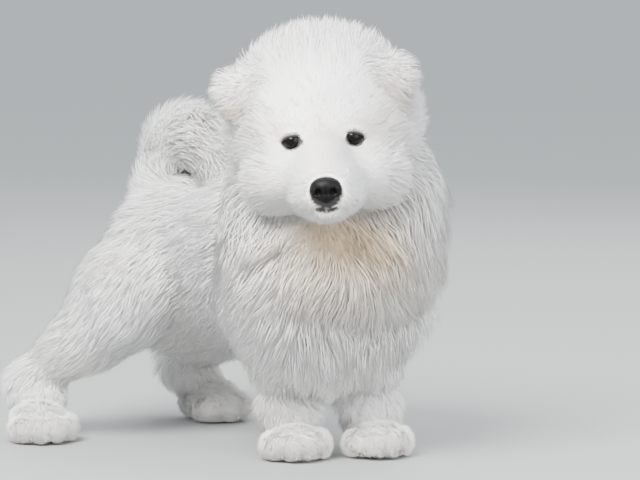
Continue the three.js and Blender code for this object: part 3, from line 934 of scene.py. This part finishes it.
class PUPPY_OT_skin(bpy.types.Operator):
    """Models one skin over the whole body, with muzzle, ears, lids and paws"""

    bl_idname = "puppy.skin"
    bl_label = "Skin"

    def execute(self, context):
        skin_limbs = LIMBS + leg_limbs("hind_leg", HIND_LEGS, TROUSERS)
        parts = [add_limb(limb, sizes().skin_share) for limb in skin_limbs]
        parts += face_balls() + ear_balls()
        for leg in LEGS:
            parts += paw_balls(leg)
        skin = join(parts, "skin")
        skin.data.remesh_voxel_size = sizes().voxel
        bpy.ops.object.voxel_remesh()
        finish_modifier(skin, "SMOOTH", factor=0.5, iterations=5)
        points = coordinates(skin)
        height = points[:, 2]
        above_paws = smooth(*PAW_TOP, height)
        trunk = smooth(*TRUNK_LOW, height) * (1 - smooth(*TRUNK_HIGH, height))
        points += (spread_out(skin, points, 16) - points) * above_paws[:, None]
        points += (spread_out(skin, points, 36) - points) * trunk[:, None]
        points[:, 2] = np.maximum(points[:, 2], 0.0)
        set_coordinates(skin, points)
        find_mouth(skin)
        carve_mouth(skin)
        lids = [add_lids(side) for side in (-1, 1)]
        skin = join([skin, *lids], "skin")
        bpy.ops.object.mode_set(mode="EDIT")
        bpy.ops.mesh.select_all(action="SELECT")
        bpy.ops.uv.smart_project(angle_limit=math.radians(66), island_margin=0.002)
        bpy.ops.object.mode_set(mode="OBJECT")
        skin.data.uv_layers[0].name = "OFBake"
        mark_skin(skin)
        dress(skin, skin_material(colours()))
        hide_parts(*FLESH_NODES)
        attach(skin, "root")
        return {"FINISHED"}


# The coat

# The most triangles in one piece, and the fewest tufts that make a piece
PIECE_LIMIT = 196000
FEWEST_TUFTS = 60
# Where the coat is less deep than this its tufts are short
SHORT_DEPTH = 0.0105
EAR_COAT = 13 * MM
PAW_COAT = 6.6 * MM
REGIONS = ("head", "neck", "torso", "tail", "foreleg", "hind_leg")


def coat_fields(points):
    """The coat's depth, its lie and its region at points of the skin."""
    depth = np.zeros(len(points))
    lie = np.zeros((len(points), 3))
    weight = np.zeros(len(points))
    region_weight = np.zeros((len(points), len(REGIONS)))
    for limb in LIMBS:
        centre, radius, coat, along = limb.samples()
        best = np.full(len(points), 1e9)
        which = np.zeros(len(points), int)
        for k in range(len(centre)):
            gap = np.linalg.norm(points - centre[k], axis=1) - radius[k] - coat[k] * SKIN_SHARE
            closer = gap < best
            best[closer] = gap[closer]
            which[closer] = k
        strength = np.exp(-np.clip(best, -0.012, 0.2) / 0.005)
        depth += strength * coat[which]
        lie += strength[:, None] * along[which]
        weight += strength
        region_weight[:, REGIONS.index(limb.name)] += strength
    depth /= weight
    lie = unit(lie)
    region = region_weight.argmax(1)
    return depth, lie, region


def blend(depth, lie, other_depth, other_lie, amount):
    """Moves the coat's depth and lie towards others, by amounts from 0 to 1."""
    lie = unit(lie + (other_lie - lie) * amount[:, None])
    return depth + (other_depth - depth) * amount, lie


def head_fields(points, depth, lie, region):
    """The face's own coat: short on the muzzle and lids, longer towards cheeks and crown."""
    # From here to the blend, lengths are millimetres in the head's own frame
    local = to_head(points) / MM
    x, y, z = local.T
    on_head = np.linalg.norm((local - [0, -8, -10]) / [62, 74, 66], axis=1) < 1.25
    on_head &= (region == REGIONS.index("head")) | (y < -30) | (z > 10)
    ball = np.linalg.norm(local - [0, -4, -6], axis=1)
    on_head &= ball < 92
    out = unit(local - np.array([0, -72, -38]))
    out[:, 1] = np.maximum(out[:, 1], -0.2) + 0.35
    out[:, 2] += np.where(z < -20, -0.45, 0.1)
    turned = unit(out) @ np.array(HEAD.to_3x3()).T
    muzzle = 1 - smooth(-58, -40, y)
    face = 1 - smooth(-46, -6, y)
    full = 4.5 + 9.5 * smooth(-40, 6, y)
    full = full + (4.2 - full) * muzzle
    cheek = smooth(26, 44, np.abs(x)) * (1 - smooth(0, 26, z)) * (1 - muzzle)
    full += 9 * cheek * face
    for side in (-1, 1):
        gap = np.linalg.norm(local - [side * 20, -44, -9], axis=1)
        full = np.minimum(full, 2.6 + 4.5 * smooth(8, 20, gap) + 40 * smooth(20, 48, gap))
    full = full * MM / (1 - SKIN_SHARE)
    depth, lie = blend(depth, lie, full, turned, on_head.astype(float))
    region = np.where(on_head, REGIONS.index("head"), region)
    return depth, lie, region


def ear_fields(points, depth, lie):
    """The hair of the ears runs from their base to past their tip."""
    for side, spot in EARS:
        local = to_head(points) - np.array(spot) * MM
        near = np.linalg.norm(local / np.array([22 * MM, 18 * MM, 26 * MM]), axis=1)
        amount = 1 - smooth(0.95, 1.35, near)
        run = unit(np.array([side * 0.75, -0.25, -0.35])) @ np.array(HEAD.to_3x3()).T
        depth, lie = blend(depth, lie, EAR_COAT, run, amount)
    return depth, lie


def paw_fields(points, depth, lie):
    """Short flat hair on the paws, towards the toes."""
    for leg in LEGS:
        local = to_world(paw_matrix(leg).inverted(), points)
        near = np.linalg.norm(local / np.array([0.030, 0.042, 0.026]), axis=1)
        amount = 1 - smooth(0.85, 1.25, near)
        run = np.array((0, -0.8, -0.35)) @ np.array(paw_matrix(leg).to_3x3()).T
        depth, lie = blend(depth, lie, PAW_COAT, run, amount)
    return depth, lie


def spread_out(skin, values, rounds):
    """Evens out values over the skin, so that no edge shows between its forms."""
    edges = np.empty(len(skin.data.edges) * 2, np.int32)
    skin.data.edges.foreach_get("vertices", edges)
    a, b = edges.reshape(-1, 2).T
    count = len(skin.data.vertices)
    links = np.bincount(a, minlength=count) + np.bincount(b, minlength=count)
    values = values.reshape(count, -1).copy()
    for _ in range(rounds):
        for column in range(values.shape[1]):
            v = values[:, column]
            total = np.bincount(a, v[b], count) + np.bincount(b, v[a], count)
            values[:, column] = (v + total) / (1 + links)
    return values.squeeze()


def skin_surface(skin):
    """The skin's triangles, with their corners' places, normals, OFBake places and areas."""
    mesh = skin.data
    mesh.calc_loop_triangles()
    count = len(mesh.loop_triangles)
    corners = np.empty(count * 3, np.int32)
    loops = np.empty(count * 3, np.int32)
    mesh.loop_triangles.foreach_get("vertices", corners)
    mesh.loop_triangles.foreach_get("loops", loops)
    points, normals = coordinates(skin), from_vertices(skin, "normal")
    uv = np.empty(len(mesh.loops) * 2)
    mesh.uv_layers["OFBake"].data.foreach_get("uv", uv)
    corners = corners.reshape(-1, 3)
    a, b, c = (points[corners[:, k]] for k in range(3))
    area = np.linalg.norm(np.cross(b - a, c - a), axis=1) / 2
    return points, normals, corners, uv.reshape(-1, 2)[loops.reshape(-1, 3)], area


def scatter(rng, area, density, count):
    """Even places on triangles: which one, and the shares of its corners."""
    share = np.cumsum(area * density)
    spots = (np.arange(count) + rng.random(count)) / count * share[-1]
    which = np.minimum(np.searchsorted(share, spots), len(area) - 1)
    u, v = rng.random(count), rng.random(count)
    flip = u + v > 1
    u[flip], v[flip] = 1 - u[flip], 1 - v[flip]
    return which, np.column_stack([1 - u - v, u, v])


def draw_together(rng, roots, tips, spacing, amount):
    """Moves tips towards the middle of their lock, whose leader is one of its tufts at random."""
    low = roots.min(0)
    order = rng.permutation(len(roots))
    taken = set()
    leaders = []
    for index in order:
        cell = tuple(((roots[index] - low) / spacing).astype(int))
        if cell not in taken:
            taken.add(cell)
            leaders.append(index)
    tree = KDTree(len(leaders))
    for number, index in enumerate(leaders):
        tree.insert(roots[index], number)
    tree.balance()
    blurred = roots + rng.normal(size=roots.shape) * spacing * 0.16
    lock = np.array([tree.find(spot)[1] for spot in blurred])
    size = np.maximum(np.bincount(lock, minlength=len(leaders)), 1)
    moved = tips.copy()
    strength = rng.uniform(0.4, 1.3, len(leaders))[lock] * amount
    for axis in range(3):
        mean = np.bincount(lock, tips[:, axis], len(leaders)) / size
        moved[:, axis] += (mean[lock] - tips[:, axis]) * strength
    return moved, lock


# For tufts of one and of two lengths: how high, how far and how thick each ring is
TUFT_SHAPES = {
    1: ((0.0, 1.0), (0.0, 1.0), (1.0, 0.0)),
    2: ((0.0, 0.76, 1.0), (0.0, 0.38, 1.0), (1.0, 0.78, 0.0)),
}
# By kind: lengths in a tuft, its reach against the coat's depth, thickness, softness, and how
# much closer tufts stand where the coat is short
TUFTS = {
    "long": {"steps": 2, "reach": 1.15, "width": 0.72, "soft": 1.0, "crowding": 0.45},
    "fine": {"steps": 1, "reach": 0.95, "width": 0.66, "soft": 1.0, "crowding": 0.2},
    "short": {"steps": 1, "reach": 1.2, "width": 0.95, "soft": 0.6, "crowding": 0.6},
}
# How deep a tuft's root sits in the skin, how low it may lie, and half its patch on OFBake
ROOT_SINK = 0.8 * MM
LOWEST_LINE = 0.9 * MM
LOWEST_CORNER = 0.4 * MM
HALF_PATCH = 0.0015


def tuft_faces(steps, count):
    """The corners of all tufts' faces, the four-sided ones first, and where each face starts."""
    quads, tris = [], [(0, 2, 1)]
    last = 3 * (steps - 1)
    for corner in range(3):
        after = (corner + 1) % 3
        quads += [(k + corner, k + after, k + after + 3, k + corner + 3) for k in range(0, last, 3)]
        tris.append((last + corner, last + after, last + 3))
    base = np.arange(count)[:, None, None] * (3 * steps + 1)
    quads = (base + np.array(quads, int).reshape(1, -1, 4)).reshape(-1)
    tris = (base + np.array(tris)).reshape(-1)
    starts = (np.arange(0, len(quads), 4), len(quads) + np.arange(0, len(tris), 3))
    return np.concatenate([quads, tris]).astype(np.int32), np.concatenate(starts).astype(np.int32)


def tuft_rings(rng, spots, run, pull, steps):
    """Each tuft's points: rings of three round a bent line, then its tip."""
    roots, normals, widths = spots["root"], spots["normal"], spots["width"]
    side = np.cross(normals, run)
    rise, forth, thick = TUFT_SHAPES[steps]
    line = []
    for k in range(steps + 1):
        along = run * (spots["length"] * forth[k])[:, None]
        out = normals * (spots["height"] * rise[k])[:, None]
        line.append(roots + along + out + pull * (forth[k] ** 1.4))
    line[0] = line[0] - normals * ROOT_SINK
    line = np.stack(line, 1)
    line[:, :, 2] = np.maximum(line[:, :, 2], LOWEST_LINE)
    turn = rng.uniform(0, 2 * math.pi, len(roots))
    rings = []
    for k in range(steps):
        reach = widths * thick[k] / 2
        for corner in range(3):
            angle = turn + corner * 2 * math.pi / 3
            offset = side * (np.cos(angle) * reach)[:, None]
            offset += normals * (np.sin(angle) * reach * 0.6)[:, None]
            if k > 0:
                offset -= run * (np.sin(angle) * reach * 0.3)[:, None]
            rings.append(line[:, k] + offset)
    rings.append(line[:, steps])
    points = np.stack(rings, 1).reshape(-1, 3)
    points[:, 2] = np.maximum(points[:, 2], LOWEST_CORNER)
    return points


def build_tufts(name, kind, spots, material, seed):
    """One mesh of thin three-sided tufts, each a closed, tapered, bending spike."""
    steps, soft = TUFTS[kind]["steps"], TUFTS[kind]["soft"]
    roots, normals, lengths = spots["root"], spots["normal"], spots["length"]
    rng = np.random.default_rng(seed)
    count = len(roots)
    across = np.cross(normals, spots["run"])
    sway = 0.30 * wander(roots, 0.045, seed + 5) + 0.17 * rng.normal(size=count)
    sway += 0.16 * wander(roots, 0.012, seed + 6)
    run = unit(spots["run"] + across * sway[:, None])
    tips = roots + run * lengths[:, None] + normals * spots["height"][:, None]
    spacing = 0.42 * float(np.median(lengths)) + 0.0015
    clump = sizes().clump * (1.0 if steps > 1 else 0.55) * (0.55 if "tail" in name else 1.0)
    drawn, lock = draw_together(rng, roots, tips, spacing, clump)
    lock_tint = np.random.default_rng(seed + 9).random(lock.max() + 1)[lock]
    tint = np.clip(0.25 + 0.45 * lock_tint + 0.4 * rng.random(count), 0, 1)
    points = tuft_rings(rng, spots, run, drawn - tips, steps)
    loops, starts = tuft_faces(steps, count)
    each = 3 * steps + 1
    mesh = bpy.data.meshes.new(name)
    mesh.vertices.add(len(points))
    mesh.vertices.foreach_set("co", points.ravel())
    mesh.loops.add(len(loops))
    mesh.loops.foreach_set("vertex_index", loops)
    mesh.polygons.add(len(starts))
    mesh.polygons.foreach_set("loop_start", starts)
    mesh.update(calc_edges=True)
    mesh.polygons.foreach_set("use_smooth", np.ones(len(starts), bool))
    tip = np.append(np.repeat(np.arange(steps), 3), steps) / steps
    spread = np.append(np.tile([-1.0, 1.0, 0.0], steps), 0.0)
    patch = np.column_stack([spread, tip * 2 - 1]) * HALF_PATCH
    places = (spots["uv"][:, None, :] + patch[None]).reshape(-1, 2)
    layer = mesh.uv_layers.new(name="OFBake")
    layer.data.foreach_set("uv", np.clip(places[loops], 0, 1).ravel())
    softness = colours().softness * soft * (0.3 + 0.7 * smooth(0.03, 0.12, roots[:, 2]))
    store(mesh, "tuft_tint", np.repeat(tint, each))
    store(mesh, "tuft_tip", np.tile(smooth(0.0, 0.7, tip), count))
    # Cream tint and painted warm shade, taken where the tuft's root stands.
    store(mesh, "cream_and_shade_mark", np.repeat(cream_and_shade_mark(roots), each))
    store(mesh, "skin_normal", np.repeat(normals, each, axis=0), "FLOAT_VECTOR")
    store(mesh, "tuft_soft", np.repeat(softness, each))
    mesh.materials.append(material)
    piece = add_object(name, mesh)
    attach(piece, "root")
    return piece


def on_nose(local, half):
    """Where points of the head's frame lie in an egg round the nose, given in millimetres."""
    middle = np.array(NOSE) + np.array([0, 0, 2.0]) * MM
    return np.linalg.norm((local - middle) / np.array(half) / MM, axis=1) < 1


def at_opening(spot, wide, high):
    """Where points of an eye's frame lie in its opening from the front, made wider and higher."""
    return np.hypot(spot[:, 0] / (LID_OPEN[0] * wide), spot[:, 2] / (LID_OPEN[1] * high)) < 1


def bare(points):
    """Where no tuft grows: on the nose, the lips' edge, the rims of the lids and the soles."""
    local = to_head(points)
    free = on_nose(local, (11, 11, 9.2)) | (points[:, 2] < 0.0015)
    free |= distance_to(local, MOUTH["lips"]) < lip_band(local, 0.8, 1.7)
    free |= distance_to(local, MOUTH["philtrum"]) < 1.1 * MM
    for side in (-1, 1):
        spot = to_world(gaze_matrix(side).inverted(), points)
        near = (spot[:, 1] < 2 * MM) & (np.linalg.norm(spot, axis=1) < EYE_RADIUS + 6 * MM)
        free |= near & at_opening(spot, 1.22, 1.25)
    return free


def in_front(points):
    """Where a tuft would lie across an eye's opening, the nose or the lips, seen from the front."""
    local = to_head(points)
    hides = on_nose(local, (10.4, 16, 8.4))
    seen = local[:, [0, 2]]
    near = distance_to(seen, MOUTH["lips"][:, [0, 2]]) < lip_band(local, 0.6, 2.2)
    near |= distance_to(seen, MOUTH["philtrum"][:, [0, 2]]) < 0.8 * MM
    hides |= near & (local[:, 1] < -50 * MM)
    for side in (-1, 1):
        spot = to_world(gaze_matrix(side).inverted(), points)
        hides |= at_opening(spot, 1.2, 1.2) & (spot[:, 1] < 0) & (spot[:, 1] > -22 * MM)
    return hides


def lay_coat(skin):
    """The coat's depth, lie and region at each point of the skin."""
    points = coordinates(skin)
    depth, lie, region = coat_fields(points)
    depth, lie = spread_out(skin, depth, 90), unit(spread_out(skin, lie, 90))
    depth, lie, region = head_fields(points, depth, lie, region)
    depth, lie = spread_out(skin, depth, 16), unit(spread_out(skin, lie, 16))
    depth, lie = ear_fields(points, depth, lie)
    depth, lie = paw_fields(points, depth, lie)
    return depth, lie, region


def tuft_sizes(rng, kind, region, coat, roots):
    """Each tuft's height above the skin, its length along it and its thickness."""
    count = len(coat)
    rough = region in ("head", "tail")
    vary = rng.uniform(0.6, 1.2, count) if rough else rng.uniform(0.76, 1.12, count)
    if kind == "fine":
        vary = rng.uniform(0.55, 1.1, count)
    height = coat * (1 - SKIN_SHARE) * vary * 0.92
    length = coat * TUFTS[kind]["reach"] * rng.uniform(0.8, 1.15, count)
    if rough:
        beside = smooth(0.030, 0.050, np.abs(to_head(roots)[:, 0]))
        length *= 0.8 - 0.3 * beside * (region == "head")
    if kind == "fine":
        length *= rng.uniform(0.55, 1.1, count)
    width = (0.0004 + 0.024 * coat) * rng.uniform(0.8, 1.2, count) * TUFTS[kind]["width"]
    return height, length, width


def clear_of_face(spots):
    """Which tufts leave the eyes, nose and lips free."""
    keep = ~bare(spots["root"])
    for share in (0.4, 0.7, 1.0):
        along = spots["run"] * (spots["length"] * share)[:, None]
        out = spots["normal"] * (spots["height"] * 0.8)[:, None]
        keep &= ~in_front(spots["root"] + along + out)
    return keep


class PUPPY_OT_coat(bpy.types.Operator):
    """Grows the coat in thin tufts that follow its lie, over the whole skin"""

    bl_idname = "puppy.coat"
    bl_label = "Coat"

    def execute(self, context):
        skin = bpy.data.objects["skin"]
        points, normals, corners, uv, area = skin_surface(skin)
        depth, lie, region = lay_coat(skin)
        face_depth = depth[corners].mean(1)
        middle = points[corners].mean(1)
        short = face_depth < SHORT_DEPTH * (1 + 0.3 * wander(middle, 0.007, SEED + 7))
        hidden = bare(middle)
        face_region = np.median(region[corners], axis=1).astype(int)
        material = coat_material(colours())
        rng = np.random.default_rng(SEED)
        totals = (
            ("long", sizes().long_tufts),
            ("fine", sizes().fine_tufts),
            ("short", sizes().short_tufts),
        )
        for kind, total in totals:
            total = total
            usable = (short if kind == "short" else ~short) & ~hidden
            dense = np.maximum(face_depth, 0.004) ** -TUFTS[kind]["crowding"]
            dense = np.where(usable, dense, 0.0)
            whole = (area * dense).sum()
            for index, name in enumerate(REGIONS):
                here = dense * (face_region == index)
                count = int(total * ((area * here).sum() / whole))
                if count < FEWEST_TUFTS:
                    continue
                which, share = scatter(rng, area, here, count)
                spots = {
                    key: (values[which] * share[:, :, None]).sum(1)
                    for key, values in (
                        ("root", points[corners]), ("normal", normals[corners]),
                        ("run", lie[corners]), ("uv", uv), ("coat", depth[corners][:, :, None]),
                    )
                }
                spots["normal"], lies = unit(spots["normal"]), unit(spots["run"])
                along = (lies * spots["normal"]).sum(1, keepdims=True)
                spots["run"] = unit(lies - spots["normal"] * along)
                coat = spots.pop("coat")[:, 0]
                made = tuft_sizes(rng, kind, name, coat, spots["root"])
                spots.update(zip(("height", "length", "width"), made))
                order = np.nonzero(clear_of_face(spots))[0]
                pieces = math.ceil(count / (PIECE_LIMIT // (6 * TUFTS[kind]["steps"] - 2)))
                for k in range(pieces):
                    chosen = {key: values[order[k::pieces]] for key, values in spots.items()}
                    label = f"coat_{name}_{kind}" + (f"_{k + 1}" if pieces > 1 else "")
                    build_tufts(label, kind, chosen, material, SEED + 31 * index + k)
        return {"FINISHED"}


# Eyes, nose and claws

# Distances from the middle of the eye's front between which the pupil and the iris end
PUPIL_EDGE = (2.6 * MM, 3.3 * MM)
IRIS_EDGE = (5.9 * MM, 6.6 * MM)
PUPIL_COLOUR, IRIS_COLOUR = (0.002, 0.002, 0.002), (0.006, 0.003, 0.002)
RIM_COLOUR = (0.015, 0.011, 0.010)
NOSE_COLOURS = ((0.002, 0.002, 0.002), (0.007, 0.006, 0.007))
CLAW_COLOUR = (0.42, 0.33, 0.27, 1)
PAD_COLOURS = ((0.035, 0.032, 0.034), (0.10, 0.08, 0.078))
# Sizes of a claw in millimetres
CLAW_LENGTH = 9.5
CLAW_BEND = 2.6
CLAW_HEIGHT = 7.4


class PUPPY_OT_eyes(bpy.types.Operator):
    """Models both eyes: a wet dark ball with a raised front"""

    bl_idname = "puppy.eyes"
    bl_label = "Eyes"

    def execute(self, context):
        look = {"Roughness": 0.04, "Specular IOR Level": 0.13}
        material, shader = new_material("dark_eye", look)
        tree = material.node_tree
        deep = mix_colours(tree, attribute(tree, "iris_ring"), PUPIL_COLOUR, IRIS_COLOUR)
        base = shader.inputs["Base Color"]
        mix_colours(tree, attribute(tree, "white_ring"), deep, RIM_COLOUR, base)
        for side, name in ((-1, "right"), (1, "left")):
            ball = add_ball((0, 0, 0), [EYE_RADIUS] * 3, gaze_matrix(side), segments=64, rings=48)
            ball.name = f"eyeball_{name}"
            local = to_world(gaze_matrix(side).inverted(), coordinates(ball))
            ring_radius = np.hypot(local[:, 0], local[:, 2])
            front = local[:, 1] < 0
            bulge = 0.45 * MM * (1 - smooth(0.2, 1.0, ring_radius / (5.6 * MM))) * front
            local[:, 1] -= bulge
            set_coordinates(ball, to_world(gaze_matrix(side), local))
            for mark, edge in (("iris_ring", PUPIL_EDGE), ("white_ring", IRIS_EDGE)):
                store(ball.data, mark, np.where(front, smooth(*edge, ring_radius), 1))
            dress(ball, material)
            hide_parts(f"eye_{name}")
            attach(ball, "root")
        return {"FINISHED"}


class PUPPY_OT_nose(bpy.types.Operator):
    """Models the nose: a grained pad with two nostrils and a middle groove"""

    bl_idname = "puppy.nose"
    bl_label = "Nose"

    def execute(self, context):
        forms = [
            ((0, 0.4, 4.4), (10.2, 7.6, 6.4)),
            ((0, 0.4, -1.6), (6.0, 6.4, 5.4)),
            ((-5.9, 0.6, 2.2), (5.0, 6.6, 5.4)),
            ((5.9, 0.6, 2.2), (5.0, 6.6, 5.4)),
        ]
        nose = join(add_balls(forms, HEAD, NOSE), "nose_pad")
        nose.data.remesh_voxel_size = 0.00045
        bpy.ops.object.voxel_remesh()
        finish_modifier(nose, "SMOOTH", factor=0.5, iterations=8)
        local = (to_head(coordinates(nose)) - np.array(NOSE)) / MM
        push = np.zeros_like(local)
        for side in (-1, 1):
            x, z = local[:, 0] - side * 4.9, local[:, 2] - 1.6
            hole = np.exp(-((x / 1.9) ** 2 + (z / 2.1) ** 2) ** 1.6)
            slit_x = local[:, 0] - side * (7.2 + 0.25 * (local[:, 2] - 0.6))
            slit = np.exp(-(slit_x / 2.2) ** 2 - (local[:, 2] / 0.9) ** 2)
            push[:, 1] += (3.0 * hole + 1.2 * slit) * (local[:, 1] < 1)
        groove = np.exp(-(local[:, 0] / 0.7) ** 2) * (1 - smooth(2, 7, local[:, 2]))
        push[:, 1] += 0.8 * groove * (local[:, 1] < 0)
        local += push
        grain = wander(local, 1.3, SEED + 3) * 0.05 + wander(local, 0.8, SEED + 4) * 0.04
        local *= 1 + (grain / 8)[:, None]
        set_coordinates(nose, to_world(HEAD, local * MM + np.array(NOSE)))
        look = {"Roughness": 0.42, "Specular IOR Level": 0.1}
        material, shader = new_material("nose_leather", look)
        grain = noise_bump(material.node_tree, shader, 1400, 0.5, 0.0004)
        base = shader.inputs["Base Color"]
        mix_colours(material.node_tree, grain, *NOSE_COLOURS, base)
        dress(nose, material)
        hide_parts("nose")
        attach(nose, "root")
        return {"FINISHED"}


class PUPPY_OT_feet(bpy.types.Operator):
    """Models the claws and the pads under the paws"""

    bl_idname = "puppy.feet"
    bl_label = "Claws and pads"

    def execute(self, context):
        claws, pads = [], []
        for leg in LEGS:
            matrix = paw_matrix(leg)
            toe_pads = [((x, y - 3, 4), (5, 6.5, 4)) for x, y, _ in TOES]
            pads += add_balls([((0, -3, 5), (11, 9, 5))], matrix, segments=24, rings=14)
            pads += add_balls(toe_pads, matrix, segments=20, rings=12)
            claws += [self.claw(matrix, *toe) for toe in TOES]
        look = {"Base Color": CLAW_COLOUR, "Roughness": 0.35}
        material, shader = new_material("claw_horn", look)
        noise_bump(material.node_tree, shader, 500, 0.2, 0.0003)
        self.finish_piece(join(claws, "claws"), material, "nose")
        material, shader = new_material("pad_leather", {"Roughness": 0.75})
        grain = noise_bump(material.node_tree, shader, 700, 0.6, 0.0008)
        base = shader.inputs["Base Color"]
        mix_colours(material.node_tree, grain, *PAD_COLOURS, base)
        self.finish_piece(join(pads, "foot_pads"), material, "nose")
        return {"FINISHED"}

    def claw(self, matrix, x, y, r):
        """A small claw that curves down from the end of a toe."""
        claw = add_ball((0, 0, 0), (1.0, 1.0, 1.0), Matrix.Identity(4), segments=14, rings=12)
        co = coordinates(claw)
        along = (1 - co[:, 2]) / 2
        wide = np.sqrt(np.clip(1 - co[:, 2] ** 2, 0, 1)) * (1 - 0.75 * along)
        ring = unit(co[:, :2]) * wide[:, None]
        bend = CLAW_BEND * along ** 2
        points = np.column_stack([
            x + ring[:, 0] * 1.7,
            y - r * 1.05 - CLAW_LENGTH * along,
            CLAW_HEIGHT + ring[:, 1] * 2.3 - bend - 1.5 * along,
        ]) * MM
        set_coordinates(claw, to_world(matrix, points))
        face_outward(claw)
        return claw

    def finish_piece(self, piece, material, slot):
        """Gives a piece its material and body; slot is not used."""
        dress(piece, material)
        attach(piece, "root")


class PUPPY_PT_panel(bpy.types.Panel):
    """Lists the steps that build the puppy"""

    bl_idname = "PUPPY_PT_panel"
    bl_label = "Samoyed puppy"
    bl_space_type = "VIEW_3D"
    bl_region_type = "UI"
    bl_category = "Puppy"

    def draw(self, context):
        for step in STEPS:
            self.layout.operator(step.bl_idname)
        for group in (context.scene.puppy_sizes, context.scene.puppy_colours):
            for key in group.__annotations__:
                self.layout.prop(group, key)


STEPS = (PUPPY_OT_stage, PUPPY_OT_skin, PUPPY_OT_eyes, PUPPY_OT_nose, PUPPY_OT_feet, PUPPY_OT_coat)
CLASSES = (PuppySizes, PuppyColours, *STEPS, PUPPY_PT_panel)


def register():
    """Adds the panel, the steps and their settings to Blender."""
    for item in CLASSES:
        bpy.utils.register_class(item)
    bpy.types.Scene.puppy_sizes = bpy.props.PointerProperty(type=PuppySizes)
    bpy.types.Scene.puppy_colours = bpy.props.PointerProperty(type=PuppyColours)


def unregister():
    """Takes them away again."""
    del bpy.types.Scene.puppy_colours
    del bpy.types.Scene.puppy_sizes
    for item in reversed(CLASSES):
        bpy.utils.unregister_class(item)


def main():
    """Runs each step."""
    register()
    bpy.ops.puppy.stage()
    bpy.ops.puppy.skin()
    bpy.ops.puppy.eyes()
    bpy.ops.puppy.nose()
    bpy.ops.puppy.feet()
    bpy.ops.puppy.coat()


if __name__ == "__main__":
    main()
